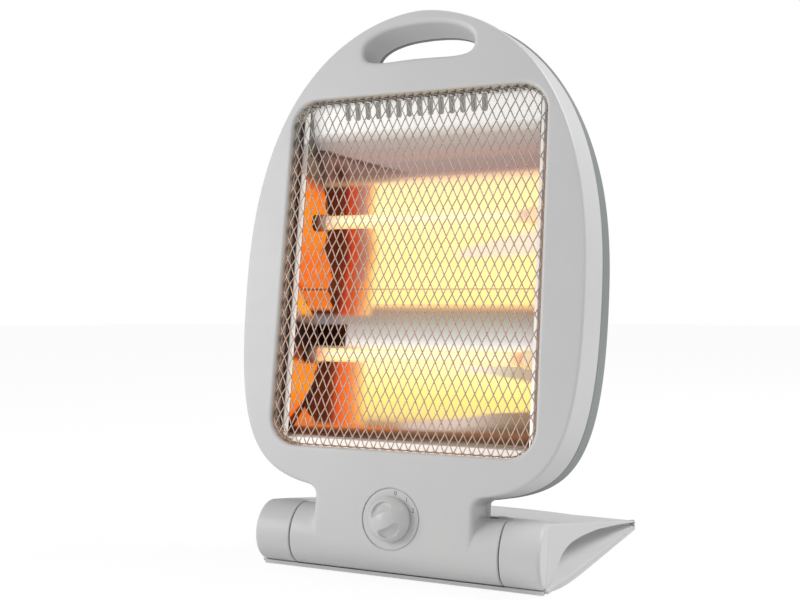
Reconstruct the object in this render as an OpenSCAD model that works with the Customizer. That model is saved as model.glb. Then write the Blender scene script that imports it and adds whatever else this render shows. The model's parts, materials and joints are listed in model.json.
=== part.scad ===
// Twin-tube quartz heater: a flat egg-shaped head that tilts on a wedge-shaped stand.
// Millimetres, +Z up, the front faces -Y. Every piece of the head is drawn upright
// about the hinge axis, x across, z up and depth counted back from the front face,
// and head() then leans it back. Pieces of the stand are drawn about the same axis,
// with z counted from the floor.

/* [Stance] */
// Lean of the head behind upright, as it rests, in degrees
lean = 8.7; // [0:0.1:16]
// Furthest lean behind upright, in degrees
lean_back = 24.7; // [18:0.1:26]
// Furthest lean forward of the rest, in degrees
lean_forward = 8; // [4:0.5:10]
// Height of the rubber feet below the floor plate
foot_h = 1; // [0.8:0.1:3]
// Height of the barrel over the floor plate's underside
keel = 1.6; // [1.4:0.1:2.4]

/* [Walls and clearances] */
// Wall of the plastic mouldings
wall = 2.5; // [2:0.1:3.2]
// Thickness of the folded metal sheets
sheet = 0.8; // [0.6:0.1:1.2]
// Gap between mouldings that turn past each other
swing_gap = 0.6; // [0.4:0.1:1.2]
// Radial clearance of a shaft that turns in a bore
run_fit = 0.06; // [0.02:0.01:0.1]
// Gap round a piece that drops into its seat
seat_fit = 0.2; // [0.1:0.05:0.4]

/* [Barrel and hinge] */
// Outer radius of the round barrel along the foot of the head
barrel_r = 20.6; // [19.5:0.1:23]
// Half length of the middle of the barrel, which tilts with the head
barrel_mid = 73.3; // [70:0.1:78]
// Half length of the whole barrel
barrel_end = 100; // [96:0.5:106]
// Outer radius of the hollow hinge sleeves
sleeve_r = 7; // [6:0.1:8]
// Radius of the wire passage through a sleeve
sleeve_bore = 4.5; // [3.5:0.1:5]
// Radius from the hinge axis to the tilt stop peg
stop_at = 14.5; // [14:0.1:15.5]
// Radius of the tilt stop peg
stop_r = 2; // [1.5:0.1:2.2]

/* [Head outline] */
// Height of the head's top edge over the hinge axis
head_top = 366; // [350:1:380]
// Height of the head's widest line
head_wide_at = 177.4; // [170:0.1:185]
// Height of the head's under edge
head_foot = 31.1; // [29:0.1:33]
// Half width of the front face
head_half = 122.7; // [119:0.1:128]
// Flat reach of the outline across the top
crown_reach = 29.5; // [24:0.5:36]
// Reach of the outline up each side
side_reach_up = 166; // [155:1:172]
// Reach of the outline down each side
side_reach_down = 141.5; // [132:0.5:144]
// Flat reach of the outline across the foot
foot_reach = 98.5; // [92:0.5:104]

/* [Head depth] */
// Depth of the joint between front shell and rear cover
seam_d = 28; // [26:0.5:30]
// Outward flare of the side at the joint
side_flare = 5; // [3:0.1:6]
// Share of the flare that is lost under the head
fade = 0.65; // [0:0.05:0.7]
// Full depth of the head
head_d = 70; // [68:0.5:74]
// Depth of the rear cover's widest line
belly_d = 45; // [42:0.5:48]
// Width of the rounded border of the rear cover
dome_w = 30; // [24:0.5:34]
// Share of the rear cover's depth that is left at the handle
top_share = 0.16; // [0.12:0.01:0.25]
// Height at which the rear cover starts to thin
thin_from = 238; // [232:1:250]
// Height at which the rear cover is thinnest
thin_to = 350; // [340:1:360]
// Half width of the neck between barrel and head
neck_half = 56; // [52:0.5:60]
// Radius in the corner between neck and head
neck_fillet = 7; // [4:0.5:9]

/* [Window and handle] */
// Half width of the window
window_half = 94.1; // [90:0.1:95]
// Height of the window's lower edge
window_low = 59.5; // [57:0.1:63]
// Height of the window's upper edge
window_high = 306.3; // [300:0.1:308]
// Corner radius of the window
window_r = 20; // [16:0.5:26]
// Depth of the wall that turns back round the window
lip_d = 12.4; // [11:0.1:13.5]
// Half width of the handle opening
handle_half = 41; // [36:0.5:44]
// Height of the handle opening's top at the middle
handle_high = 356; // [354:0.1:358]
// Height of the handle opening's bottom at the middle
handle_low = 331; // [330:0.1:333]
// Drop of the handle opening's top edge at its ends
handle_arch = 6; // [3:0.5:8]
// Drop of the handle opening's bottom edge at its ends
handle_sag = 3.5; // [2:0.5:5]

/* [Grille] */
// Thickness of the grille's flat front
grille_t = 0.9; // [0.7:0.1:1.2]
// Depth of the grille's flat front behind the front face
grille_d = 1.2; // [0.8:0.1:2]
// Width of a grille gap, strand to strand
mesh_w = 13.4; // [12.5:0.1:18]
// Height of a grille gap, strand to strand
mesh_h = 27.5; // [26:0.5:36]
// Width of a grille strand
strand = 0.9; // [0.7:0.1:1.4]

/* [Heating tubes] */
// Height of the lower tube
tube_low = 125; // [120:0.5:128]
// Height of the upper tube
tube_high = 223; // [219:0.5:228]
// Depth of both tubes behind the front face
tube_d = 33; // [30:0.5:35]
// Outer radius of a quartz tube
tube_r = 5; // [4.5:0.1:6]
// Wall of a quartz tube
tube_wall = 1.1; // [0.8:0.1:1.3]
// Half length of a quartz tube
tube_half = 86; // [84:0.5:88]
// Turns of a heating coil
coil_turns = 24; // [12:1:24]
// Wire radius of a heating coil
coil_wire = 0.45; // [0.3:0.05:0.5]
// Outer radius of a ceramic cap
cap_r = 6.3; // [6.2:0.1:7.2]
// Length of a ceramic cap that shows in front of its end plate
cap_in = 10.5; // [8:0.5:12]
// Length of a ceramic cap behind its end plate
cap_out = 9; // [8:0.5:12]

/* [Reflector] */
// Depth of the reflector's troughs
trough_d = 53; // [50:0.5:54]
// Height of the ridge between the troughs
ridge_at = 170.5; // [167:0.5:174]
// Depth of the ridge between the troughs
ridge_d = 17.5; // [16.5:0.5:20]
// Width of the flange that shows inside the window
flange_w = 7.4; // [6.5:0.1:9]
// Height at which the upper trough meets the slotted panel
panel_low = 285; // [280:0.5:288]
// Depth of that meeting line
panel_d = 21; // [19:0.5:23]
// Number of slots in the panel
slot_count = 14; // [8:1:14]
// Spacing of the slots
slot_pitch = 8; // [7:0.1:8.2]
// Width of a slot
slot_w = 3.4; // [2.6:0.1:4]
// Sideways place of the first slot
slot_first = -58; // [-60:0.5:-54]
// Height of the slots' lower ends
slot_low = 295; // [292:0.5:297]

/* [Dial and switch] */
// Height of the dial's centre
dial_at = 16; // [15:0.1:16.5]
// Radius of the dial plate
dial_r = 19.8; // [18:0.1:21]
// Thickness of the dial plate
dial_t = 1.2; // [1:0.1:1.3]
// Radius of the knob
knob_r = 14.3; // [13:0.1:16]
// Height of the knob above the front face
knob_h = 12.5; // [11:0.1:14]
// Width of the knob's grip
grip_w = 7; // [5.5:0.1:9]
// Angle clockwise from the top at which the grip points
grip_at = 65; // [55:1:75]
// Radius of the switch shaft
shaft_r = 3; // [2.5:0.1:3.2]
// Side of the square switch body
switch_w = 25; // [22:0.5:26]
// Depth of the switch body
switch_d = 17; // [14:0.5:18]

/* [Stand] */
// Slope of the deck, in degrees
deck_slope = 11; // [10:0.1:12]
// Distance from the hinge axis back to the rear corners
corner_y = 186; // [175:1:196]
// Bulge of the rear edge behind its corners
rear_bulge = 21; // [15:0.5:26]
// Widening of the deck for each millimetre towards the rear
deck_flare = 0.141; // [0.12:0.001:0.16]
// Greatest reach of the foot edge beyond the deck edge
skirt = 6; // [4:0.5:7]
// Depth of the hollow along each side
cove = 8; // [5:0.5:9]
// Thickness of the deck's edge at the rear corners
edge_h = 1.2; // [1:0.1:2]
// Thickness of the stand's rear edge
rear_h = 4.5; // [4:0.1:6]
// Thickness of the floor plate
plate_t = 2.5; // [2:0.1:3]
// Reach of the floor plate in front of the hinge axis
plate_front = 8; // [6:0.5:12]
// Radius of a rubber foot
foot_r = 6; // [5:0.1:7]

/* [Screws] */
// Shank radius of a screw
screw_r = 1.5; // [1.2:0.1:1.6]
// Head radius of a screw
screw_head_r = 3; // [2.6:0.1:3.2]
// Head height of a screw
screw_head_h = 2; // [1.6:0.1:2.2]
// Radius of a screw post
post_r = 4.2; // [3.9:0.1:4.6]

/* [Tip-over switch] */
// Radius of the plunger that stands on the floor
plunger_r = 2.9; // [2.4:0.1:3.2]
// Travel of the plunger when the heater is lifted
plunger_travel = 3.5; // [2.5:0.1:4]
// Sideways place of the tip-over switch
tip_x = -45; // [-52:1:-38]
// Place of the tip-over switch behind the hinge axis
tip_y = 85; // [78:1:92]

/* [Hidden] */

$fn = 96;
eps = 0.05;

shell_grey = [0.83, 0.83, 0.81];
cover_grey = [0.42, 0.43, 0.43];
dial_grey = [0.80, 0.80, 0.78];
bright_sheet = [0.86, 0.85, 0.83];
plated_steel = [0.72, 0.72, 0.70];
quartz_glow = [1.0, 0.92, 0.62];
coil_orange = [1.0, 0.45, 0.12];
ceramic_white = [0.90, 0.87, 0.80];
black_plastic = [0.10, 0.10, 0.10];
rubber_black = [0.08, 0.08, 0.08];
brass_yellow = [0.78, 0.62, 0.30];
lead_brown = [0.42, 0.22, 0.12];

// Hinge axis: height over the floor, and place that centres the stand on the origin.
axis_z = foot_h + keel + barrel_r;
rear_y = corner_y + rear_bulge;
rim_h = 3.6;
cap_h = knob_h - rim_h;
dome_r = (knob_r * knob_r + cap_h * cap_h) / (2 * cap_h);
front_reach = (barrel_r + knob_h - dome_r) * cos(lean) - dial_at * sin(lean) + dome_r;
axis_y = -(rear_y - front_reach) / 2;
seam_y = seam_d - barrel_r;
hinge_wall = wall + 0.5;
sleeve_tip = barrel_mid - hinge_wall - 12;
ring_groove = 0.75;
ring_t = 1.2;
washer_t = 1.4;
boss_r = sleeve_r + 4;
boss_tip = barrel_mid - hinge_wall - 6;
end_mid = barrel_mid + swing_gap;

// ---- Placing and drawing helpers ----------------------------------------------

// The head, leaned back about the hinge axis.
module head() translate([0, axis_y, axis_z]) rotate([-lean, 0, 0]) children();

// The stand, drawn from the hinge axis back and from the floor up.
module stand() translate([0, axis_y, 0]) children();

// A drawing seen from the front, made thick from depth d backwards.
module slab(d, t)
    translate([0, d + t - barrel_r, 0]) rotate([90, 0, 0]) linear_extrude(t) children();

// A side view, y across and z up, made long from x0 to x1.
module along(x0, x1)
    translate([x0, 0, 0]) rotate([90, 0, 90]) linear_extrude(x1 - x0) children();

// A round bar along X.
module bar(r, x0, x1) translate([x0, 0, 0]) rotate([0, 90, 0]) cylinder(r = r, h = x1 - x0);

// The same thing on the right and mirrored on the left.
module both() {
    children();
    mirror([1, 0, 0]) children();
}

// Axes at the dial's centre, z pointing out of the front face.
module on_dial() translate([0, -barrel_r, dial_at]) rotate([90, 0, 0]) children();

// A rectangle from x0, y0 to x1, y1 with round corners.
module rounded(x0, y0, x1, y1, r) {
    translate([x0 + r, y0]) square([x1 - x0 - 2 * r, y1 - y0]);
    translate([x0, y0 + r]) square([x1 - x0, y1 - y0 - 2 * r]);
    for (x = [x0 + r, x1 - r], y = [y0 + r, y1 - r]) translate([x, y]) circle(r = r);
}

function bezier(p, u) = pow(1 - u, 3) * p[0] + 3 * pow(1 - u, 2) * u * p[1]
    + 3 * (1 - u) * u * u * p[2] + pow(u, 3) * p[3];
function limit(x, low, high) = min(max(x, low), high);
function ease(x) = let (c = limit(x, 0, 1)) c * c * (3 - 2 * c);
function wave(x, power) = sign(x) * pow(abs(x), power);

// A solid through rings of equally many points, clockwise as seen along the rings.
// With a pole the far end closes to that point, and otherwise it is flat.
module loft(rings, pole) {
    n = len(rings[0]);
    k = len(rings);
    sides = [for (j = [0:k - 2], i = [0:n - 1]) let (m = (i + 1) % n)
        each [[j * n + i, (j + 1) * n + m, j * n + m],
              [j * n + i, (j + 1) * n + i, (j + 1) * n + m]]];
    far = is_undef(pole) ? [[for (i = [n - 1:-1:0]) (k - 1) * n + i]]
        : [for (i = [0:n - 1]) [(k - 1) * n + i, k * n, (k - 1) * n + (i + 1) % n]];
    polyhedron(concat([for (r = rings) each r], is_undef(pole) ? [] : [pole]),
        concat([[for (i = [0:n - 1]) i]], sides, far));
}

// A round wire swept along a path, its rings carried without twist.
function unit(v) = v / norm(v);
function headings(p) = [for (i = [0:len(p) - 1])
    unit(p[min(i + 1, len(p) - 1)] - p[max(i - 1, 0)])];
function carry(t, n, i = 1, out = []) = i >= len(t) ? out
    : let (m = unit(n - (n * t[i]) * t[i])) carry(t, m, i + 1, concat(out, [m]));
module wire(path, r, sides) {
    t = headings(path);
    side = abs(t[0][1]) < 0.8 ? [0, 1, 0] : [0, 0, 1];
    first = unit(side - (side * t[0]) * t[0]);
    n = concat([first], carry(t, first));
    loft([for (i = [0:len(path) - 1]) [for (a = [0:sides - 1])
        let (b = 360 * a / sides) path[i] + r * (cos(b) * n[i] + sin(b) * cross(t[i], n[i]))]]);
}

// Points on a smooth curve through a route's own points.
function bend(p0, p1, p2, p3, u) = 0.5 * (2 * p1 + (p2 - p0) * u
    + (2 * p0 - 5 * p1 + 4 * p2 - p3) * u * u + (3 * p1 - p0 - 3 * p2 + p3) * pow(u, 3));
function smooth(p, k) = concat([for (i = [0:len(p) - 2], s = [0:k - 1])
    bend(p[max(i - 1, 0)], p[i], p[i + 1], p[min(i + 2, len(p) - 1)], s / k)], [p[len(p) - 1]]);

// ---- Outline and skin of the head ---------------------------------------------

quarter = 18;
crown = [[0, head_top], [crown_reach, head_top], [head_half, head_wide_at + side_reach_up],
    [head_half, head_wide_at]];
heel = [[head_half, head_wide_at], [head_half, head_wide_at - side_reach_down],
    [foot_reach, head_foot], [0, head_foot]];
right_edge = concat([for (i = [0:quarter - 1]) bezier(crown, i / quarter)],
    [for (i = [0:quarter]) bezier(heel, i / quarter)]);
edge_n = 4 * quarter;
head_edge = concat(right_edge,
    [for (i = [2 * quarter - 1:-1:1]) [-right_edge[i][0], right_edge[i][1]]]);

// The outline moved out by a distance, square to itself.
function outward(i) = let (t = head_edge[(i + 1) % edge_n] - head_edge[(i + edge_n - 1) % edge_n])
    unit([-t[1], t[0]]);
edge_out = [for (i = [0:edge_n - 1]) outward(i)];

// Share of the flare that is left: it fades under the head, which clears the deck.
function share(i) = 1 - fade * pow(min(edge_out[i][1], 0), 4);
function edge_at(i, out) = head_edge[i] + edge_out[i] * out;
function at_depth(p, d) = [p[0], d - barrel_r, p[1]];

// Front half: a soft corner round the face, then sides that flare to the joint.
function face_round(d) = let (r = 2.2) d >= r ? 0 : sqrt(r * r - pow(r - d, 2)) - r;
function flare_at(i, d) = share(i) * side_flare * max(d - 2.2, 0) / (seam_d - 2.2) + face_round(d);
module front_solid(inset) {
    depths = inset > 0 ? [inset, seam_d + 1] : [0, 0.4, 1.1, 2.2, seam_d];
    loft([for (d = depths) [for (i = [0:edge_n - 1])
        at_depth(edge_at(i, flare_at(i, d) - inset), d)]]);
}

// Rear half: out to the belly line, then a rounded border and a flat back that thins
// towards the handle.
cover_step = 0.4;
function belly_out(i) = share(i) * (side_flare + 1.5);
function thinning(z) = 1 - (1 - top_share) * ease((z - thin_from) / (thin_to - thin_from));
function back_d(d, z, inset) = seam_d + (d - seam_d) * thinning(z) - inset;
function dome_out(i, a) = belly_out(i) - (belly_out(i) + dome_w) * (1 - cos(a));
function dome_d(a) = belly_d + (head_d - belly_d) * sin(a);
module rear_solid(inset) {
    rim = [for (i = [0:edge_n - 1])
        at_depth(edge_at(i, share(i) * side_flare + cover_step - inset),
            seam_d - (inset > 0 ? 1 : 0))];
    border = [for (a = [0, 22, 42, 60, 76, 90]) [for (i = [0:edge_n - 1])
        let (p = edge_at(i, dome_out(i, a) - inset * cos(a)))
            at_depth(p, back_d(dome_d(a), p[1], inset * sin(a)))]];
    middle = [0, head_wide_at];
    back = [for (s = [0.72, 0.4, 0.15]) [for (i = [0:edge_n - 1])
        let (p = middle + s * (edge_at(i, -dome_w) - middle))
            at_depth(p, back_d(head_d, p[1], inset))]];
    loft(concat([rim], border, back), at_depth(middle, back_d(head_d, head_wide_at, inset)));
}

// ---- Drawings shared by several pieces ----------------------------------------

module window_2d(grow)
    rounded(-window_half - grow, window_low - grow, window_half + grow, window_high + grow,
        window_r + grow);

// Handle opening: flat-sided oval whose top and bottom edges both arch upwards.
module handle_2d(grow) {
    reach = handle_half + grow;
    polygon([for (a = [0:7.5:352.5]) let (
        x = reach * wave(cos(a), 0.5),
        top = handle_high + grow - handle_arch * pow(x / reach, 2),
        low = handle_low - grow - handle_sag * pow(x / reach, 2))
            [x, (top + low) / 2 + (top - low) / 2 * wave(sin(a), 0.75)]]);
}

// Neck, with a rounded corner where it meets the under edge of the head.
neck_top = head_foot + 2.6;
module neck_2d() {
    translate([-neck_half, 0]) square([2 * neck_half, neck_top + 4]);
    both() difference() {
        translate([neck_half - 1, neck_top - neck_fillet])
            square([neck_fillet + 1, neck_fillet + 2]);
        translate([neck_half + neck_fillet, neck_top - neck_fillet]) circle(r = neck_fillet);
        translate([neck_half + neck_fillet - 0.5, neck_top - eps]) square([1, 3]);
    }
}

// Barrel and neck as one solid, and the hollow inside them.
module trunk() {
    bar(barrel_r, -barrel_mid, barrel_mid);
    slab(0, 2 * barrel_r) neck_2d();
}
module trunk_hollow() {
    bar(barrel_r - wall, -barrel_mid + hinge_wall, barrel_mid - hinge_wall);
    slab(wall, 2 * (barrel_r - wall))
        translate([wall - neck_half, 0]) square([2 * (neck_half - wall), neck_top + 12]);
}
module front_half() translate([-200, -100, -50]) cube([400, 100 + seam_y, 500]);
module rear_half() translate([-200, seam_y, -50]) cube([400, 200, 500]);

// Places of the screw posts that join the two shells, and of the reflector's screws.
frame_w = head_half - window_half;
side_post_x = window_half + 0.521 * frame_w;
shell_posts = [[side_post_x, 105], [side_post_x, 240], [58, 318], [72, 46]];
shell_head_d = seam_d + 3;
shell_screw_l = 14;
flange_lap = 4.5;
ear_x = window_half + 0.224 * frame_w;
ear_r = post_r - 0.6;
ear_z = [window_low + 25.5, window_high - 41.3];
post_hole = screw_r + 0.05;

// ---- Head: shells ----------------------------------------------------------------

module front_shell() color(shell_grey) head() {
    difference() {
        union() {
            difference() {
                front_solid(0);
                front_solid(wall);
            }
            slab(0, lip_d) window_2d(wall - 0.5);
            slab(0, seam_d) handle_2d(wall);
            intersection() {
                trunk();
                front_half();
            }
            both() bar(barrel_r - wall, barrel_mid - hinge_wall, barrel_mid);
            slab(wall - eps, 1.5) translate([0, dial_at]) circle(r = dial_r - 4);
            both() for (p = shell_posts) slab(wall - eps, seam_d - wall + eps)
                translate(p) circle(r = post_r);
            both() for (z = ear_z) slab(wall - eps, lip_d + sheet - wall + eps)
                translate([ear_x, z]) circle(r = ear_r);
        }
        difference() {
            trunk_hollow();
            slab(0, wall + 1.5) translate([0, dial_at]) circle(r = dial_r - 4);
            both() bar(boss_r, boss_tip, barrel_mid);
        }
        slab(-1, lip_d + 2) window_2d(0);
        slab(-1, seam_d + 2) handle_2d(0);
        slab(-1, 1.3 + dial_t) translate([0, dial_at]) circle(r = dial_r + seat_fit);
        slab(0, 8) translate([0, dial_at]) circle(r = shaft_r + 2.1);
        both() {
            bar(sleeve_r + run_fit, boss_tip - 1, barrel_mid + 1);
            translate([barrel_mid - hinge_wall - eps, 0, 0]) stop_slot();
            for (p = shell_posts) slab(shell_head_d - shell_screw_l - 4, shell_screw_l + 4)
                translate(p) circle(r = post_hole);
            for (z = ear_z) slab(4, lip_d) translate([ear_x, z]) circle(r = post_hole);
        }
    }
}

// Curved slot for the tilt stop peg, which points straight down on the stand.
stop_play = 0.35;
stop_half = asin((stop_r + stop_play) / stop_at);
module stop_slot() {
    first = -90 + lean - lean_forward - 1 - stop_half;
    span = lean_back - lean + lean_forward + 2 + 2 * stop_half;
    rotate([90, 0, 90]) rotate([0, 0, first]) rotate_extrude(angle = span)
        translate([stop_at - stop_r - stop_play, 0])
            square([2 * (stop_r + stop_play), hinge_wall + 1]);
}

module rear_cover() color(cover_grey) head() {
    difference() {
        union() {
            difference() {
                rear_solid(0);
                rear_solid(wall);
            }
            intersection() {
                rear_solid(0.6);
                union() {
                    slab(seam_d, head_d) handle_2d(wall);
                    both() for (p = shell_posts) slab(seam_d, head_d)
                        translate(p) circle(r = post_r + 1);
                    slab(block_d + block_h, head_d) translate([block_x + 4, block_z + 2])
                        square([block_w - 8, block_h - 4]);
                }
            }
            intersection() {
                trunk();
                rear_half();
            }
        }
        trunk_hollow();
        both() bar(barrel_r - wall + seat_fit, barrel_mid - hinge_wall - 1, barrel_mid + 1);
        slab(seam_d - 1, head_d) handle_2d(0);
        both() for (p = shell_posts) {
            slab(seam_d - 1, 10) translate(p) circle(r = screw_r + 0.3);
            slab(shell_head_d, head_d) translate(p) circle(r = screw_head_r + 0.5);
        }
        slab(belly_d, head_d) vents_2d();
        slab(belly_d, head_d) translate(gland_at) circle(r = gland_r + seat_fit);
    }
}

// Two rows of cooling slots in the rear cover.
vent_w = 4;
module vents_2d()
    for (row = [[92, 34], [236, 34]], i = [-4:4])
        rounded(i * 11 - vent_w / 2, row[0], i * 11 + vent_w / 2, row[0] + row[1], vent_w / 2 - eps);

module shell_screws() color(plated_steel) head() both() for (p = shell_posts) {
    slab(shell_head_d, screw_head_h) translate(p) circle(r = screw_head_r);
    slab(shell_head_d - shell_screw_l, shell_screw_l + eps) translate(p) circle(r = screw_r);
}

// ---- Head: grille, reflector and tubes -------------------------------------------

// Flat net of crossed strands inside a border. Its rim turns back to a flange that is
// clamped between the window's wall and the reflector, clear of the screw posts.
border = 2.2;
module net_gaps() {
    mid = (window_low + window_high) / 2;
    cols = ceil(2 * window_half / mesh_w);
    rows = ceil((window_high - window_low) / mesh_h);
    w = (mesh_w - strand * 1.1) / 2;
    h = (mesh_h - strand * 2.3) / 2;
    intersection() {
        window_2d(-1 - border);
        for (c = [-cols:cols], r = [-rows:rows]) if ((c + r) % 2 == 0)
            translate([c * mesh_w / 2, mid + r * mesh_h / 2])
                polygon([[w, 0], [0, h], [-w, 0], [0, -h]]);
    }
}
module grille() color(plated_steel) head() {
    slab(grille_d, grille_t) difference() {
        window_2d(-1);
        net_gaps();
    }
}
module grille_rim() color(plated_steel) head() {
    rim_d = grille_d + grille_t;
    slab(rim_d, lip_d + sheet - rim_d) difference() {
        window_2d(-1);
        window_2d(-1 - sheet);
    }
    slab(lip_d, sheet) difference() {
        window_2d(flange_lap - 1);
        window_2d(-1 - sheet);
        post_room();
    }
}

// Room in a sheet for the screw posts that pass it.
module post_room() both() {
    for (z = ear_z) translate([ear_x, z]) circle(r = ear_r + seat_fit);
    for (p = shell_posts) translate(p) circle(r = post_r + seat_fit);
}

// Section of the two troughs, depth across and height up.
flange_d = lip_d + sheet;
trough_low = window_low + flange_w;
function arc_d(z, mid, edge, edge_d) = trough_d
    - (trough_d - edge_d) * pow((z - mid) / (edge - mid), 2);
trough_steps = 8;
function trough(mid, edge, edge_d, from, to) = [for (i = [0:trough_steps])
    let (z = from + (to - from) * i / trough_steps) [arc_d(z, mid, edge, edge_d), z]];
trough_line = concat(
    trough(tube_low, trough_low, flange_d, trough_low, tube_low),
    [for (p = trough(tube_low, ridge_at, ridge_d, tube_low, ridge_at)) if (p[1] > tube_low) p],
    [for (p = trough(tube_high, ridge_at, ridge_d, ridge_at, tube_high)) if (p[1] > ridge_at) p],
    [for (p = trough(tube_high, panel_low, panel_d, tube_high, panel_low)) if (p[1] > tube_high) p],
    [[flange_d + 0.4, window_high + 1.5]]);
trough_half = window_half - flange_w + 0.4;
module trough_2d() {
    back = [for (i = [len(trough_line) - 1:-1:0]) trough_line[i] + [sheet + 0.1, 0]];
    translate([-barrel_r, 0]) polygon(concat(trough_line, back));
}
module slots_2d()
    for (i = [0:slot_count - 1]) translate([slot_first + i * slot_pitch, 0])
        rounded(-slot_w / 2, slot_low, slot_w / 2, window_high + 6, slot_w / 2 - eps);
module reflector() color(bright_sheet) head() difference() {
    union() {
        along(-trough_half, trough_half) trough_2d();
        slab(flange_d, sheet) difference() {
            union() {
                window_2d(flange_lap);
                both() for (z = ear_z) hull() {
                    translate([ear_x, z]) circle(r = post_r);
                    translate([window_half, z]) circle(r = post_r);
                }
            }
            translate([-trough_half, trough_low]) square([2 * trough_half, head_top]);
            both() for (p = shell_posts) translate(p) circle(r = post_r + seat_fit);
        }
    }
    slab(0, panel_d + 4) slots_2d();
    both() for (z = ear_z) slab(flange_d - 1, sheet + 2)
        translate([ear_x, z]) circle(r = screw_r + 0.2);
}

// End plates: a wall with a hole for each cap, a front flange under the reflector's
// ears and a rear flange that carries the heat shield.
plate_x = trough_half;
shield_d = trough_d + 4;
plate_low = trough_low + 8;
plate_high = panel_low - 9;
shield_high = thin_from + 4;
rear_fold = 12;
cap_hole = cap_r + seat_fit;
module end_plate(side) color(bright_sheet) head() mirror([side < 0 ? 1 : 0, 0, 0]) difference() {
    union() {
        along(plate_x, plate_x + sheet) translate([-barrel_r, 0]) polygon([
            [flange_d + sheet, plate_low], [shield_d, plate_low], [shield_d, shield_high],
            [panel_d + 8, plate_high], [flange_d + sheet, plate_high]]);
        slab(flange_d + sheet, sheet) translate([plate_x, plate_low])
            square([ear_x + ear_r - plate_x, plate_high - plate_low]);
        slab(shield_d - sheet, sheet) translate([plate_x - rear_fold, plate_low + 6])
            square([rear_fold + sheet, shield_high - plate_low - 10]);
    }
    for (z = [tube_low, tube_high]) translate([0, tube_d - barrel_r, z])
        bar(cap_hole, plate_x - 1, plate_x + 2);
    for (z = ear_z) slab(flange_d, 3) translate([ear_x, z]) circle(r = screw_r + 0.2);
    for (z = [tube_low, tube_high], s = [-1, 1], i = [0:2])
        translate([plate_x - 1, flange_d + 8 + i * 9 - barrel_r, z + s * 19 - 6]) cube([3, 3, 12]);
}

ear_screw_l = 9;
ear_head_d = flange_d + 2 * sheet;
module reflector_screws() color(plated_steel) head() both() for (z = ear_z) {
    slab(ear_head_d, screw_head_h) translate([ear_x, z]) circle(r = screw_head_r);
    slab(ear_head_d - ear_screw_l, ear_screw_l + eps) translate([ear_x, z]) circle(r = screw_r);
}

module heat_shield() color(plated_steel) head() difference() {
    slab(shield_d, sheet) translate([-plate_x + 2, plate_low + 2])
        square([2 * plate_x - 4, shield_high - plate_low - 4]);
    slab(shield_d - 1, sheet + 2) for (x = [-54:18:54])
        rounded(x - 3, tube_low - 5, x + 3, ridge_at - 14, 2.9);
}

// Thermal cut-out, on the shield's front face in the pocket behind the ridge.
cutout_r = 8;
cutout_h = 7;
cutout_ear = 14;
module thermal_cutout() color(black_plastic) head()
    translate([0, shield_d - barrel_r, ridge_at]) rotate([90, 0, 0]) difference() {
        union() {
            cylinder(r = cutout_r, h = cutout_h);
            translate([-cutout_ear, -5, 0]) cube([2 * cutout_ear, 10, 1.2]);
        }
        for (x = [3 - cutout_ear, cutout_ear - 3]) translate([x, 0, -1]) cylinder(r = 1.6, h = 4);
    }

// Quartz tubes, open at both ends, with a wound wire inside.
module at_tube(z) translate([0, tube_d - barrel_r, z]) children();
module quartz_tube(z) color(quartz_glow) head() at_tube(z) difference() {
    bar(tube_r, -tube_half, tube_half);
    bar(tube_r - tube_wall, -tube_half - 1, tube_half + 1);
}

// The wire leaves the cap straight, winds out in half a turn, and back in at the end.
coil_r = tube_r - tube_wall - coil_wire - 0.25;
coil_half = tube_half - 4;
coil_rings = 8;
function coil_point(i) = let (n = coil_turns * coil_rings, u = i / n,
    r = coil_r * ease(min(i, n - i) / coil_rings * 2), a = 360 * i / coil_rings)
        [coil_half * (2 * u - 1), r * cos(a), r * sin(a)];
coil_path = concat([[-coil_half - 3, 0, 0], [-coil_half - 1.5, 0, 0]],
    [for (i = [0:coil_turns * coil_rings]) coil_point(i)],
    [[coil_half + 1.5, 0, 0], [coil_half + 3, 0, 0]]);
module heating_coil(z) color(coil_orange) head() at_tube(z) wire(coil_path, coil_wire, 6);

// Least distance between points of a winding that lie over half a turn apart.
function least_gap(p, apart, w) = min([for (i = [0:len(p) - 1 - apart])
    min([for (j = [i + apart:min(i + 3 * apart, len(p) - 1)]) norm(p[i] - p[j])])]) - 2 * w;
echo(coil_least_gap = least_gap(coil_path, 5, coil_wire));

// Ceramic caps: a cup round the tube's end, a collar behind the end plate and a wire hole.
collar_t = 2;
module ceramic_caps(side) color(ceramic_white) head() mirror([side < 0 ? 1 : 0, 0, 0])
    for (z = [tube_low, tube_high]) at_tube(z) difference() {
        union() {
            bar(cap_r, plate_x - cap_in, plate_x + cap_out);
            bar(cap_r + 1.8, plate_x + sheet, plate_x + sheet + collar_t);
        }
        bar(tube_r + run_fit, plate_x - cap_in - 1, tube_half + seat_fit);
        bar(lead_r + seat_fit, tube_half, plate_x + cap_out + 1);
    }

// Spring plates that hold the collars against the end plates.
retainer_w = 22;
retainer_h = 16;
module cap_retainers(side) color(plated_steel) head() mirror([side < 0 ? 1 : 0, 0, 0])
    for (z = [tube_low, tube_high]) at_tube(z) translate([plate_x + sheet, 0, 0]) difference() {
        union() {
            translate([collar_t, -retainer_h / 2, -retainer_w / 2])
                cube([sheet, retainer_h, retainer_w]);
            for (s = [-1, 1]) translate([0, -retainer_h / 2, s * (retainer_w / 2 - 0.5) - 0.5])
                cube([collar_t + eps, retainer_h, 1]);
        }
        bar(cap_hole, -1, collar_t + 2);
    }

// ---- Head: dial, switch and wiring ---------------------------------------------------

dial_face = -0.3;
bush_r = shaft_r + 1.8;
module dial_plate() color(dial_grey) head() on_dial() difference() {
    translate([0, 0, dial_face - dial_t]) cylinder(r = dial_r, h = dial_t);
    translate([0, 0, -4]) cylinder(r = shaft_r + 2.1, h = 6);
}

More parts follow.
